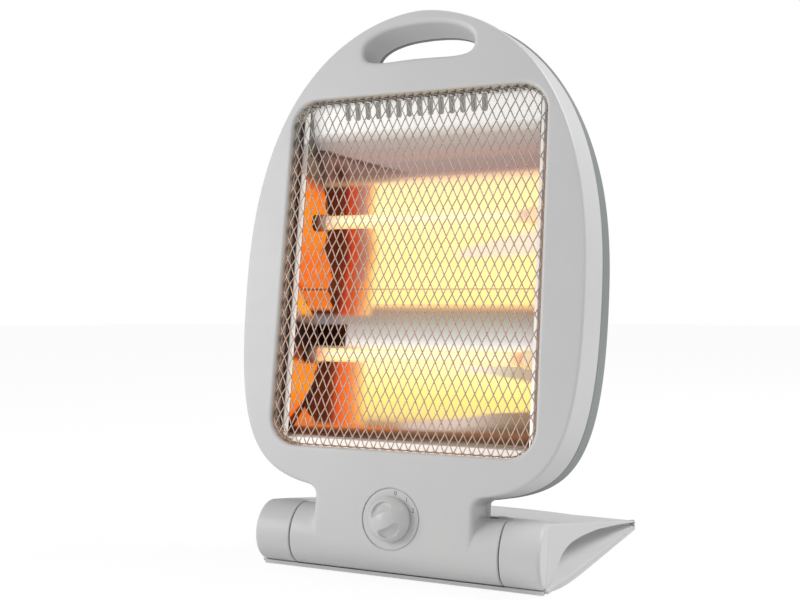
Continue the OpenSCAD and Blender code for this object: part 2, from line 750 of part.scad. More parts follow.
seat_d = wall + 1.5;
module switch_body() color(black_plastic) head() on_dial() difference() {
    union() {
        translate([-switch_w / 2, -switch_w / 2, -seat_d - switch_d])
            cube([switch_w, switch_w, switch_d]);
        translate([0, 0, -seat_d - eps]) cylinder(r = bush_r, h = seat_d + 2.4);
    }
    translate([0, 0, -seat_d - switch_d + 4]) cylinder(r = shaft_r + run_fit, h = switch_d + 12);
}

terminal_spots = [[-8, 5], [8, 5], [-8, -5], [8, -5]];
module switch_terminals() color(brass_yellow) head() on_dial() for (p = terminal_spots)
    translate([p[0] - 0.4, p[1] - 3, -seat_d - switch_d - 7]) cube([0.8, 6, 7]);

module switch_nut() color(plated_steel) head() on_dial() translate([0, 0, dial_face]) difference() {
    cylinder(r = bush_r + 2.8, h = 2.2, $fn = 6);
    translate([0, 0, -1]) cylinder(r = bush_r + 0.05, h = 5);
}

shaft_top = knob_h - 3.5;
module switch_shaft() color(plated_steel) head() on_dial() difference() {
    translate([0, 0, -seat_d - switch_d + 5])
        cylinder(r = shaft_r, h = shaft_top + seat_d + switch_d - 5);
    translate([-10, shaft_r - 0.8, 3.2]) cube([20, 4, 30]);
}

// Domed knob with a hollow scooped out on each side of a straight grip.
knob_gap = 0.4;
scoop_r = knob_r * 0.62;
module knob() color(shell_grey) head() on_dial() difference() {
    intersection() {
        translate([0, 0, knob_gap]) cylinder(r = knob_r, h = knob_h);
        translate([0, 0, knob_h - dome_r]) sphere(r = dome_r);
    }
    rotate([0, 0, -grip_at]) for (s = [-1, 1])
        translate([s * (grip_w / 2 + scoop_r * 0.72), 0, knob_h + scoop_r * 0.3])
            rotate([90, 0, 0]) sphere(r = scoop_r);
    translate([0, 0, -1]) cylinder(r = bush_r + 3.6, h = 4.2);
    difference() {
        translate([0, 0, 1]) cylinder(r = shaft_r + 0.05, h = shaft_top - 1 + 0.3);
        translate([-10, shaft_r - 0.75, 3.2]) cube([20, 4, 30]);
    }
}

block_x = -54;
block_z = 41;
block_room = 24;
block_d = head_d - block_room;
block_w = 28;
block_h = 12;
module terminal_block() color(ceramic_white) head() difference() {
    slab(block_d, block_h) translate([block_x, block_z]) square([block_w, block_h]);
    for (s = [-1, 1]) slab(block_d - 1, 6)
        translate([block_x + block_w / 2 + 7 * s, block_z + block_h / 2]) circle(r = 2.2);
}

gland_at = [-60, 78];
gland_r = 6;
gland_bore = 3.7;
module cord_gland() color(rubber_black) head() difference() {
    union() {
        slab(head_d - wall - 3, wall + 5) translate(gland_at) circle(r = gland_r);
        slab(head_d, 2) translate(gland_at) circle(r = gland_r + 2.5);
        slab(head_d - wall - 2, 2) translate(gland_at) circle(r = gland_r + 1.5);
    }
    slab(head_d - wall - 4, wall + 8) translate(gland_at) circle(r = gland_bore);
}

// Wiring inside the head, as x, depth and height along each route.
lead_r = 1.3;
lead_sides = 8;
function in_head(p) = [p[0], p[1] - barrel_r, p[2]];
function cap_end(side, z) = [[side * (plate_x + cap_out + 3.6), tube_d, z],
    [side * (plate_x + cap_out + 0.8), tube_d, z], [side * (plate_x + cap_out - 2), tube_d, z]];
right_low = concat([[8.6, 33, 11], [12, 35, 20], [24, 36, 37], [46, 40, 52], [74, 43, 58],
    [90, 43, 70], [98, 41, 90], [101, 37, 112]], cap_end(1, tube_low));
right_high = concat([[8.6, 33, 21], [14, 34, 32], [30, 33, 46], [56, 31, 56], [80, 29, 61],
    [96, 27, 74], [101, 26, 98], [101, 26, 150], [101, 28, 195], [101, 32, 212]],
    cap_end(1, tube_high));
left_low = concat([[block_x - 0.4, block_d + 3, block_z + 6], [block_x - 3, block_d + 3, block_z + 6],
    [block_x - 6, block_d + 3, block_z + 6.4], [-72, 47, 57], [-90, 44, 72], [-98, 41, 90],
    [-101, 37, 112]], cap_end(-1, tube_low));
left_high = concat([[block_x - 0.4, block_d + 9, block_z + 6], [block_x - 3, block_d + 9, block_z + 6],
    [block_x - 6, block_d + 9, block_z + 6.4], [-75, 52, 59], [-92, 51, 71], [-98, 48, 100],
    [-101, 46, 150], [-101, 42, 190], [-101, 36, 212]],
    cap_end(-1, tube_high));
module lead(route) wire(smooth([for (p = route) in_head(p)], 3), lead_r, lead_sides);
module leads_left() color(lead_brown) head() {
    lead(left_low);
    lead(left_high);
}
module leads_right() color(lead_brown) head() {
    lead(right_low);
    lead(right_high);
}

// Lead from the hollow hinge to the rotary switch.
module switch_lead() color(lead_brown) head() lead([[-sleeve_tip + 1, barrel_r, 0],
    [-sleeve_tip + 5, barrel_r, 0], [-40, barrel_r + 3, 1], [-26, 31, 6], [-16, 34, 14],
    [-8.6, 33, 20]]);

// ---- Hinge ----------------------------------------------------------------------------

module about_hinge() stand() translate([0, 0, axis_z]) children();
module hinge_sleeves() color(plated_steel) about_hinge() both() difference() {
    union() {
        bar(sleeve_r, sleeve_tip, end_mid + hinge_wall + eps);
        bar(boss_r, end_mid + hinge_wall, end_mid + hinge_wall + 2);
    }
    bar(sleeve_bore, sleeve_tip - 1, end_mid + hinge_wall + 3);
    difference() {
        bar(sleeve_r + 1, ring_x, ring_x + ring_t);
        bar(sleeve_r - ring_groove, ring_x - 1, ring_x + ring_t + 1);
    }
}
washer_x = boss_tip - 0.05 - washer_t;
ring_x = washer_x - ring_t;
module wave_washers() color(plated_steel) about_hinge() both() difference() {
    bar(boss_r - 0.5, washer_x, washer_x + washer_t);
    bar(sleeve_r + 0.1, washer_x - 1, washer_x + washer_t + 1);
}
module retaining_rings() color(plated_steel) about_hinge() both() difference() {
    bar(boss_r - 1, ring_x, ring_x + ring_t);
    bar(sleeve_r - ring_groove + 0.05, ring_x - 1, ring_x + ring_t + 1);
}

// ---- Stand -----------------------------------------------------------------------------

floor_top = foot_h + plate_t;
function deck_z(y) = max(axis_z + barrel_r / cos(deck_slope) - tan(deck_slope) * y, foot_h + rear_h);
function deck_x(y) = barrel_end + deck_flare * y;
function skirt_x(y) = deck_x(y) + skirt * limit(1 - y / corner_y, 0, 1) * (1 - exp(-max(y, 0) / 12));

// Plan of the stand: flared sides and a rear edge that bulges between its corners.
side_steps = 12;
rear_steps = 16;
function rear_edge(x) = corner_y + rear_bulge * (1 - pow(x / deck_x(corner_y), 2));
plan_right = [for (i = [0:side_steps]) let (y = corner_y * pow(i / side_steps, 1.5)) [skirt_x(y), y]];
plan_rear = [for (i = [1:rear_steps - 1])
    let (x = deck_x(corner_y) * cos(180 * i / rear_steps)) [x, rear_edge(x)]];
plan_left = [for (i = [side_steps:-1:0]) [-plan_right[i][0], plan_right[i][1]]];
module plan_2d() polygon(concat(plan_right, plan_rear, plan_left));

// Hollow along the side: under the deck's edge the wall curves in and out to the foot.
deck_edge_fall = 35;
function shelf_z(y) = let (band = edge_h + 2.6 * limit(1 - y / corner_y, 0, 1)
    + deck_edge_fall * exp(-(y - 5) / 24)) max(deck_z(y) - band, floor_top + 0.4);
cove_steps = 7;
function cove_ring(y) = let (x0 = deck_x(y), x1 = skirt_x(y), z0 = shelf_z(y), z1 = floor_top,
    deep = min(cove, 0.42 * (z0 - z1)), out = x1 + 12, over = deck_z(y) + 8) concat(
        [[out, y, z1]],
        [for (i = [cove_steps:-1:0]) let (u = i / cove_steps)
            [x0 + (x1 - x0) * u - deep * pow(sin(180 * pow(u, 0.6)), 0.9), y, z0 + (z1 - z0) * u]],
        [[x0, y, over], [out, y, over]]);
cove_y = [for (i = [0:14]) (corner_y + 1) * pow(i / 14, 1.6) - 0.5];
module side_cove() loft([for (y = cove_y) cove_ring(y)]);

// Room for the head: the barrel turns in it and the neck leans back on its rear face.
module swing_room(grow) {
    half = barrel_mid + swing_gap + grow;
    bar(barrel_r + swing_gap + grow, -half, half);
    wide = neck_half + neck_fillet + 2 + grow;
    rotate([-lean_back - 0.6, 0, 0]) translate([-wide, -barrel_r, 0])
        cube([2 * wide, 2 * barrel_r + swing_gap + grow, head_foot + 30]);
}

stand_posts = [[80, 50], [88, 128]];
stand_head_h = screw_head_h - 0.4;
stand_screw_l = 9;
level_y = (axis_z + barrel_r / cos(deck_slope) - foot_h - rear_h) / tan(deck_slope);
hollow_y = level_y - 30;
deck_side = [[0, floor_top], [0, deck_z(0)], [level_y, deck_z(level_y)], [rear_y + 1, deck_z(rear_y)],
    [rear_y + 1, floor_top]];
module stand_hollow() difference() {
    intersection() {
        along(-200, 200) polygon([[0, floor_top - 1], [0, deck_z(0) - wall],
            [hollow_y, deck_z(hollow_y) - wall], [hollow_y, floor_top - 1]]);
        linear_extrude(200) polygon([[-deck_x(0) + wall, -1], [deck_x(0) - wall, -1],
            [deck_x(0) - wall, 8], [deck_x(40) - cove - wall - 2, 24],
            [deck_x(hollow_y) - cove - wall, hollow_y + 1],
            [-deck_x(hollow_y) + cove + wall, hollow_y + 1],
            [-deck_x(40) + cove + wall + 2, 24], [-deck_x(0) + wall, 8]]);
    }
    translate([0, 0, axis_z]) swing_room(wall);
}
module stand_top() color(shell_grey) stand() difference() {
    union() {
        difference() {
            intersection() {
                translate([0, 0, floor_top]) linear_extrude(100) plan_2d();
                along(-200, 200) polygon(deck_side);
            }
            both() side_cove();
            stand_hollow();
        }
        translate([0, 0, axis_z]) both() difference() {
            bar(barrel_r, end_mid, barrel_end);
            bar(barrel_r - wall, end_mid + hinge_wall, barrel_end - wall);
        }
        translate([0, 0, axis_z - stop_at]) both()
            bar(stop_r, barrel_mid - hinge_wall + 0.8, end_mid + eps);
        both() for (p = stand_posts) translate([p[0], p[1], floor_top])
            cylinder(r = post_r, h = deck_z(p[1]) - floor_top - 1.2);
    }
    translate([0, 0, axis_z]) swing_room_cut();
    translate([0, 0, axis_z]) both() bar(sleeve_r + 0.05, end_mid - 1, end_mid + hinge_wall + 1);
    both() for (p = stand_posts) translate([p[0], p[1], 0])
        cylinder(r = post_hole, h = floor_top + stand_screw_l);
    barrel_passage();
}

// The stand keeps only its stop pegs inside the room for the head.
module swing_room_cut() difference() {
    swing_room(0);
    both() translate([0, 0, -stop_at]) bar(stop_r, barrel_mid - hinge_wall, end_mid + 1);
}

// Way for the wires out of each barrel end into the stand.
module barrel_passage() translate([0, 0, axis_z]) both()
    translate([end_mid + hinge_wall, 4, -6])
        cube([barrel_end - end_mid - hinge_wall - wall, barrel_r, 14]);

module floor_plate() color(cover_grey) stand() difference() {
    translate([0, 0, foot_h]) linear_extrude(plate_t) {
        plan_2d();
        translate([-barrel_end + 1, -plate_front]) square([2 * barrel_end - 2, plate_front + 1]);
    }
    translate([0, 0, axis_z]) both() bar(barrel_r + 0.05, end_mid - 1, barrel_end + 0.05);
    translate([0, 0, axis_z]) swing_room(0);
    both() for (p = stand_posts) translate([p[0], p[1], foot_h - 1]) {
        cylinder(r = screw_r + 0.3, h = plate_t + 2);
        cylinder(r = screw_head_r + 0.4, h = 1 + stand_head_h);
    }
    translate([tip_x, tip_y, 0]) cylinder(r = plunger_r + run_fit, h = 20);
}

module stand_screws() color(plated_steel) stand() both() for (p = stand_posts)
    translate([p[0], p[1], foot_h]) {
        translate([0, 0, 0.05]) cylinder(r = screw_head_r, h = stand_head_h - 0.05);
        cylinder(r = screw_r, h = plate_t + stand_screw_l);
    }

feet = [[86, 6], [108, 176]];
module rubber_feet() color(rubber_black) stand() both() for (p = feet)
    translate([p[0], p[1], 0]) cylinder(r = foot_r, h = foot_h);

// Tip-over switch: a sprung plunger that the floor holds up.
tip_w = 14;
tip_l = 22;
tip_h = 16;
collar_r = plunger_r + 1.3;
collar_z = floor_top + plunger_travel + 0.5;
tip_bore = tip_h - 3;
module at_tip() stand() translate([tip_x, tip_y, 0]) children();
module tip_switch_body() color(black_plastic) at_tip() difference() {
    translate([-tip_l / 2, -tip_w / 2, floor_top]) cube([tip_l, tip_w, tip_h]);
    translate([0, 0, floor_top - 1]) cylinder(r = collar_r + 0.3, h = tip_bore + 1);
}
module tip_plunger() color(ceramic_white) at_tip() {
    translate([0, 0, 0.1]) cylinder(r = plunger_r, h = collar_z);
    translate([0, 0, collar_z]) cylinder(r = collar_r, h = 1.5);
    translate([0, 0, collar_z]) cylinder(r = 1.4, h = 3.5);
}
spring_wire = 0.35;
spring_r = collar_r - spring_wire - 0.2;
spring_low = collar_z + 1.5 + spring_wire + 0.05;
spring_high = floor_top + tip_bore - spring_wire - 0.05;
spring_turns = 3;
spring_rings = 8 * spring_turns;
spring_path = [for (i = [0:spring_rings]) let (a = 45 * i)
    [spring_r * cos(a), spring_r * sin(a), spring_low + (spring_high - spring_low) * i / spring_rings]];
module tip_spring() color(plated_steel) at_tip() wire(spring_path, spring_wire, 6);
echo(spring_least_gap = least_gap(spring_path, 5, spring_wire));

// Lead from the tip-over switch through the left hinge sleeve.
tip_route = [[tip_x - tip_l / 2 - 0.3, tip_y, floor_top + 10],
    [tip_x - tip_l / 2 - 2.6, tip_y, floor_top + 10],
    [tip_x - tip_l / 2 - 5, tip_y - 0.4, floor_top + 10], [-67, 64, floor_top + 9],
    [-73, 42, floor_top + 9], [-83, 29, floor_top + 12], [-87.5, 20, axis_z - 2],
    [-88.5, 11, axis_z], [-87.5, 4.5, axis_z], [-84.5, 0.8, axis_z], [-80, 0, axis_z],
    [-76, 0, axis_z], [-sleeve_tip, 0, axis_z]];
module tip_switch_lead() color(lead_brown) stand() wire(smooth(tip_route, 3), lead_r, lead_sides);

front_shell();
rear_cover();
grille();
grille_rim();
reflector();
end_plate(-1);  // end_plate_left
end_plate(1);  // end_plate_right
quartz_tube(tube_low);  // quartz_tube_lower
quartz_tube(tube_high);  // quartz_tube_upper
heating_coil(tube_low);  // heating_coil_lower
heating_coil(tube_high);  // heating_coil_upper
ceramic_caps(-1);  // ceramic_caps_left
ceramic_caps(1);  // ceramic_caps_right
cap_retainers(-1);  // cap_retainers_left
cap_retainers(1);  // cap_retainers_right
heat_shield();
thermal_cutout();
dial_plate();
switch_body();
switch_terminals();
switch_nut();
switch_shaft();
knob();
terminal_block();
cord_gland();
leads_left();
leads_right();
switch_lead();
shell_screws();
reflector_screws();
stand_top();
floor_plate();
hinge_sleeves();
wave_washers();
retaining_rings();
stand_screws();
rubber_feet();
tip_switch_body();
tip_plunger();
tip_spring();
tip_switch_lead();
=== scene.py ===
"""A tabletop quartz heater, dressed for its picture: each piece as the maker would put it on,
from the two shells of the head, through the grille and the glowing tubes, to the stand.
The pieces of the head are drawn upright in millimetres and then leaned back about the hinge."""

import json
import math

import bmesh
import bpy
import numpy as np
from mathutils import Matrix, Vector
from mathutils.geometry import delaunay_2d_cdt


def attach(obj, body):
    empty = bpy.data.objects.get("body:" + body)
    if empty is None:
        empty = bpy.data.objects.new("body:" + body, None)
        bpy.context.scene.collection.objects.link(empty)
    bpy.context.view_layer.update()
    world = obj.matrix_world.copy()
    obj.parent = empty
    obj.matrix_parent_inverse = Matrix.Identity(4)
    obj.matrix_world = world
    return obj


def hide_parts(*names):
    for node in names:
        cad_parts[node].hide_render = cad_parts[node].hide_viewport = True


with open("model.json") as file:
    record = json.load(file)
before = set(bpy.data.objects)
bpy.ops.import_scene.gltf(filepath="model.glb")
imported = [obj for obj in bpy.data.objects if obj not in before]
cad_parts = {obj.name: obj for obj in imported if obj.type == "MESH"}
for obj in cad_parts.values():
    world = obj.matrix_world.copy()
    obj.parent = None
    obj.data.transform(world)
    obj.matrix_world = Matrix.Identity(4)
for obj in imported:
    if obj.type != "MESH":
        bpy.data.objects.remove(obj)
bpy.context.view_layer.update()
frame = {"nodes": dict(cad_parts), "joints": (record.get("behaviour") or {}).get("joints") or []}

# ---- Studio --------------------------------------------------------------------------------
# A white table under an even white surround. A soft lamp stands in front at the left, and a
# stronger one hangs high at the right, a little behind. The camera stands to the heater's
# right, at grille height.
WHITE = (1.0, 1.0, 1.0, 1.0)


class Flow:
    """One shader socket. An operator on it adds the Math node that works out the result; the
    bars | and & stand for the larger and the smaller of two values."""

    def __init__(self, finish, socket):
        self.finish, self.socket = finish, socket

    def worked(self, operation, *values):
        return self.finish.node("ShaderNodeMath", {"operation": operation}, *values)

    def __add__(self, other):
        return self.worked("ADD", self, other)

    def __sub__(self, other):
        return self.worked("SUBTRACT", self, other)

    def __rsub__(self, other):
        return self.worked("SUBTRACT", other, self)

    def __mul__(self, other):
        return self.worked("MULTIPLY", self, other)

    def __truediv__(self, other):
        return self.worked("DIVIDE", self, other)

    def __pow__(self, other):
        return self.worked("POWER", self, other)

    def __or__(self, other):
        return self.worked("MAXIMUM", self, other)

    def __and__(self, other):
        return self.worked("MINIMUM", self, other)

    def __abs__(self):
        return self.worked("ABSOLUTE", self)

    __radd__ = __add__
    __rmul__ = __mul__

    def near(self, centre, reach):
        """1 at the centre and falling smoothly to 0 at the reach on either side."""
        return self.finish.fade(abs(self - centre), reach, 0.0)


class Finish:
    """A material being mixed: its node tree, its shader and the one method that adds nodes."""

    def __init__(self, name, **constants):
        self.material = bpy.data.materials.new(name)
        self.material.use_nodes = True
        self.tree = self.material.node_tree
        self.shader = self.tree.nodes["Principled BSDF"]
        for label, value in constants.items():
            self.shader.inputs[label.replace("_", " ")].default_value = value

    def fill(self, socket, value):
        if isinstance(value, Flow):
            self.tree.links.new(value.socket, socket)
        elif isinstance(value, (tuple, list)) and socket.type == "RGBA" and len(value) == 3:
            socket.default_value = (*value, 1.0)
        else:
            socket.default_value = value

    def node(self, kind, settings=None, *values, out=0, **named):
        """A new node: its settings first, then its sockets, in order or by label."""
        made = self.tree.nodes.new(kind)
        for key, value in (settings or {}).items():
            if key == "stops":
                for k, (at, colour) in enumerate(value):
                    stop = made.color_ramp.elements[k] if k < 2 else made.color_ramp.elements.new(at)
                    stop.position = at
                    stop.color = (*colour, 1.0)
            else:
                setattr(made, key, value)
        for k, value in enumerate(values):
            self.fill(made.inputs[k], value)
        for label, value in named.items():
            self.fill(made.inputs[label.replace("_", " ")], value)
        return Flow(self, made.outputs[out])

    def place(self, axis=None):
        """The point on the piece, in metres, or one of its axes."""
        at = self.node("ShaderNodeTexCoord", out="Object")
        return at if axis is None else self.node("ShaderNodeSeparateXYZ", {}, at, out=axis)

    def stretched(self, x, y, z):
        """The point with each axis stretched, for grain that runs one way."""
        return self.node("ShaderNodeMapping", {}, Vector=self.place(), Scale=(x, y, z))

    def grain(self, scale, detail=3.0, rough=0.55, at=None):
        """Soft cloudy noise from 0 to 1; the scale is in clouds to a metre."""
        return self.node("ShaderNodeTexNoise", {}, Vector=at or self.place(), Scale=scale,
                         Detail=detail, Roughness=rough)

    def fade(self, value, start, end):
        """0 at the start and 1 at the end, eased at both."""
        return self.node("ShaderNodeMapRange", {"interpolation_type": "SMOOTHSTEP"},
                         value, start, end, 0.0, 1.0)

    def blend(self, share, first, second):
        """A colour part of the way from the first to the second."""
        made = self.tree.nodes.new("ShaderNodeMix")
        made.data_type = "RGBA"
        for socket, value in ((made.inputs[0], share), (made.inputs[6], first),
                              (made.inputs[7], second)):
            self.fill(socket, value)
        return Flow(self, made.outputs[2])

    def ramp(self, value, *stops):
        """A colour that runs evenly between stops, each a position from 0 to 1 and a colour."""
        return self.node("ShaderNodeValToRGB", {"stops": stops}, value)

    def bump(self, height, strength, depth):
        """Fine relief: a height from 0 to 1, over a depth in metres."""
        return self.node("ShaderNodeBump", {}, Strength=strength, Distance=depth, Height=height)

    def feed(self, **sockets):
        for label, value in sockets.items():
            self.fill(self.shader.inputs[label.replace("_", " ")], value)
        return self.material


def seen_colour(red, green, blue):
    """The linear colour of a tone named by its 0 to 255 picture values."""
    tone = np.array([red, green, blue]) / 255.0
    return tuple(np.where(tone <= 0.04045, tone / 12.92, ((tone + 0.055) / 1.055) ** 2.4))


def sheet(points, round_u=False, round_v=False, flip=False):
    """Triangles over a grid of points: each cell is halved, and a round side joins its ends."""
    rows, columns = points.shape[:2]
    index = np.arange(rows * columns).reshape(rows, columns)
    index = np.vstack([index, index[:1]]) if round_u else index
    index = np.hstack([index, index[:, :1]]) if round_v else index
    a, b, c, d = index[:-1, :-1], index[1:, :-1], index[1:, 1:], index[:-1, 1:]
    faces = np.concatenate([np.stack([a, b, c], -1).reshape(-1, 3),
                            np.stack([a, c, d], -1).reshape(-1, 3)])
    return points.reshape(-1, 3), faces[:, ::-1] if flip else faces


def build(name, patches, material, sharp=35.0, weld=3.1e-6, facing=None):
    """One mesh object from patches of points and triangles, in metres. Points that coincide
    are welded, triangles that shrink to a line are dropped, the rest are turned to face out
    (as a whole towards a given way, for an open sheet), and all is smooth-shaded."""
    points = np.concatenate([p for p, _ in patches])
    starts = np.cumsum([0] + [len(p) for p, _ in patches[:-1]])
    faces = np.concatenate([f + s for (_, f), s in zip(patches, starts)])
    _, first, back = np.unique(np.round(points / weld + 0.17).astype(np.int64), axis=0,
                               return_index=True, return_inverse=True)
    faces = back.reshape(-1)[faces]
    whole = ((faces[:, 0] != faces[:, 1]) & (faces[:, 1] != faces[:, 2])
             & (faces[:, 2] != faces[:, 0]))
    mesh = bpy.data.meshes.new(name)
    mesh.from_pydata(points[first].tolist(), [], faces[whole].tolist())
    mesh.update()
    work = bmesh.new()
    work.from_mesh(mesh)
    bmesh.ops.recalc_face_normals(work, faces=work.faces)
    if facing is not None:
        lean_in = sum(f.calc_area() * f.normal.dot(facing) for f in work.faces)
        if lean_in < 0:
            bmesh.ops.reverse_faces(work, faces=work.faces)
    work.to_mesh(mesh)
    work.free()
    mesh.shade_smooth()
    mesh.set_sharp_from_angle(angle=math.radians(sharp))
    made = bpy.data.objects.new(name, mesh)
    made.data.materials.append(material)
    bpy.context.scene.collection.objects.link(made)
    return made


def walled(skin, thickness, back=None):
    """Thickens a sheet inwards, by metres. A second material may cover its back and rim."""
    wall = skin.modifiers.new("wall", "SOLIDIFY")
    wall.thickness = thickness
    wall.offset = -1
    if back is not None:
        skin.data.materials.append(back)
        wall.material_offset = wall.material_offset_rim = 1


def evened(moulding):
    """Shades the large faces of a moulding flat beside their small round edges."""
    shading = moulding.modifiers.new("flat_faces", "WEIGHTED_NORMAL")
    shading.keep_sharp = True


camera = bpy.data.objects.new("camera", bpy.data.cameras.new("camera"))
camera.location = (0.2405, -0.67556, 0.1869)
camera.rotation_euler = (math.radians(89.8), 0.0, math.radians(22.3))
camera.data.lens = 42.79
camera.data.sensor_width = 36.0
camera.data.clip_start = 0.01
bpy.context.scene.collection.objects.link(camera)
bpy.context.scene.camera = camera
bpy.context.scene.view_settings.view_transform = "Standard"

# Of the table's white, these shares are plain glow, which hides its shading from the camera.
SEEN_SHARE, MIRRORED_SHARE, TABLE_REACH = 0.86, 0.6, 6.0
table_finish = Finish("white_table", Roughness=0.9, Specular_IOR_Level=0.2)
table_finish.feed(Base_Color=table_finish.blend(table_finish.grain(9.0), (0.72, 0.72, 0.72),
                                                (0.76, 0.76, 0.76)))
path = table_finish.node("ShaderNodeLightPath", out="Is Camera Ray")
mirror_path = table_finish.node("ShaderNodeLightPath", out="Is Glossy Ray")
through_path = table_finish.node("ShaderNodeLightPath", out="Is Transmission Ray")
glow = table_finish.tree.nodes.new("ShaderNodeEmission")
glow.inputs["Strength"].default_value = 1.07
glow.inputs["Color"].default_value = WHITE
over = table_finish.tree.nodes.new("ShaderNodeMixShader")
table_finish.fill(over.inputs[0], (path | through_path) * SEEN_SHARE | mirror_path * MIRRORED_SHARE)
table_finish.tree.links.new(table_finish.shader.outputs[0], over.inputs[1])
table_finish.tree.links.new(glow.outputs[0], over.inputs[2])
table_finish.tree.links.new(over.outputs[0],
                            table_finish.tree.nodes["Material Output"].inputs["Surface"])
rim, turn = np.meshgrid(np.linspace(0.0, TABLE_REACH, 13), np.linspace(0.0, 2 * np.pi, 65)[:-1],
                        indexing="ij")
table_grid = np.stack([rim * np.cos(turn), rim * np.sin(turn), 0 * rim], -1)
tabletop = build("tabletop", [sheet(table_grid, round_v=True)], table_finish.material)

world = bpy.data.worlds.new("surround")
bpy.context.scene.world = world
world.use_nodes = True
surround = world.node_tree
lamp_part = surround.nodes["Background"]
lamp_part.inputs["Color"].default_value = WHITE
lamp_part.inputs["Strength"].default_value = 0.44
seen_part = surround.nodes.new("ShaderNodeBackground")
seen_part.inputs["Color"].default_value = WHITE
seen_part.inputs["Strength"].default_value = 1.0
ray = surround.nodes.new("ShaderNodeLightPath")
direct = surround.nodes.new("ShaderNodeMath")
direct.operation = "MAXIMUM"
surround.links.new(ray.outputs["Is Camera Ray"], direct.inputs[0])
surround.links.new(ray.outputs["Is Transmission Ray"], direct.inputs[1])
chosen = surround.nodes.new("ShaderNodeMixShader")
surround.links.new(direct.outputs[0], chosen.inputs[0])
surround.links.new(lamp_part.outputs[0], chosen.inputs[1])
surround.links.new(seen_part.outputs[0], chosen.inputs[2])
surround.links.new(chosen.outputs[0], surround.nodes["World Output"].inputs["Surface"])

for lamp_name, spot, aim, width, power in (
        ("window_lamp", (-0.86, -0.9, 0.5), (0.0, 0.0, 0.18), 0.7, 6.6),
        ("side_lamp", (1.0, 0.36, 1.3), (0.0, 0.0, 0.2), 0.8, 15.5)):
    lamp = bpy.data.objects.new(lamp_name, bpy.data.lights.new(lamp_name, "AREA"))
    lamp.data.size = width
    lamp.data.energy = power
    lamp.location = spot
    away = np.array(spot) - np.array(aim)
    lamp.rotation_euler = (math.acos(away[2] / np.linalg.norm(away)), 0.0,
                           math.atan2(away[1], away[0]) + math.pi / 2)
    bpy.context.scene.collection.objects.link(lamp)

# ---- Front shell -----------------------------------------------------------------------------
# The light grey front half of the head, moulded in one piece of satin plastic: an egg-shaped
# face with a window and a grip hole, sides that flare back to the joint, a neck, and the front
# of the round barrel that turns between the stand's two ends. Screws from behind hold it.
LEAN = math.radians(8.7)
BARREL = 20.6
SEAM = 28.0
SHELL_WALL = 0.0018
hinge_y, hinge_z = frame["joints"][0]["pos_m"][1:]


def leaned(x, d, t):
    """Head places in metres, from x across, depth d behind the face and height t over the
    hinge, all in millimetres: the drawing is turned back about the hinge by the lean."""
    x, d, t = np.broadcast_arrays(x, d, t)
    back = d - BARREL
    return np.stack([x / 1000, hinge_y + (back * math.cos(LEAN) + t * math.sin(LEAN)) / 1000,
                     hinge_z + (t * math.cos(LEAN) - back * math.sin(LEAN)) / 1000], -1)


def curve(p, u):
    """A cubic Bezier curve through its first and last point, at parameters u."""
    u = u[:, None]
    return ((1 - u) ** 3 * p[0] + 3 * (1 - u) ** 2 * u * p[1] + 3 * (1 - u) * u * u * p[2]
            + u ** 3 * p[3])


def outwards(path):
    """Unit normals of an open flat path that runs clockwise, from the chord of each point's
    neighbours, turned a quarter to the left."""
    chord = np.gradient(path, axis=0)
    chord = chord / np.linalg.norm(chord, axis=1, keepdims=True)
    return np.stack([-chord[:, 1], chord[:, 0]], -1)


def rounded_box(half, low, high, r, steps=10, side=12, rise=14):
    """A rectangle with round corners as an anticlockwise path, evenly stepped on each side."""
    turn = np.linspace(0, np.pi / 2, steps + 1)
    parts = []
    for k, (cx, cy) in enumerate(((half - r, low + r), (half - r, high - r),
                                  (r - half, high - r), (r - half, low + r))):
        a = turn + (k - 1) * np.pi / 2
        parts.append(np.stack([cx + r * np.cos(a), cy + r * np.sin(a)], -1))
    path = []
    for k, part in enumerate(parts):
        following = parts[(k + 1) % 4][0]
        count = rise if k % 2 == 0 else side
        run = np.linspace(0, 1, count + 1)[1:-1, None]
        path += [part, part[-1] * (1 - run) + following * run]
    return np.concatenate(path)


def filled(outer, holes, extra, fold):
    """Flat triangles between an outer path, the holes and extra points, folded by a function
    of x and t into the head's own axes."""
    paths = [outer] + list(holes)
    points = np.concatenate(paths + [extra])
    edges, start = [], 0
    for path in paths:
        n = len(path)
        edges += [(start + i, start + (i + 1) % n) for i in range(n)]
        start += n
    spots, _, faces, origin, *_ = delaunay_2d_cdt([Vector(p) for p in points], edges, [], 1, 1e-5)
    at = np.array([points[came[0]] if came else spot for spot, came in zip(spots, origin)])
    faces = np.array(faces)
    middle = at[faces].mean(1)
    keep = inside(middle, outer)
    for hole in holes:
        keep &= ~inside(middle, hole)
    a, b, c = (at[faces[:, k]] for k in range(3))
    turned = ((b - a)[:, 0] * (c - a)[:, 1] - (b - a)[:, 1] * (c - a)[:, 0]) < 0
    faces[turned] = faces[turned][:, ::-1]
    return fold(at[:, 0], at[:, 1]), faces[keep]


def inside(points, path):
    """Whether each point lies in a closed path, by counting the edges to its right."""
    a, b = path, np.roll(path, -1, 0)
    x, y = points[:, :1], points[:, 1:]
    spans = (a[:, 1] > y) != (b[:, 1] > y)
    climb = np.where(b[:, 1] == a[:, 1], 1, b[:, 1] - a[:, 1])
    cross = a[:, 0] + (y - a[:, 1]) * (b[:, 0] - a[:, 0]) / climb
    return (spans & (x < cross)).sum(1) % 2 == 1


def smooth_step(value):
    """0 below 0, 1 above 1, and an S-shaped rise between them."""
    share = np.clip(value, 0, 1)
    return share * share * (3 - 2 * share)


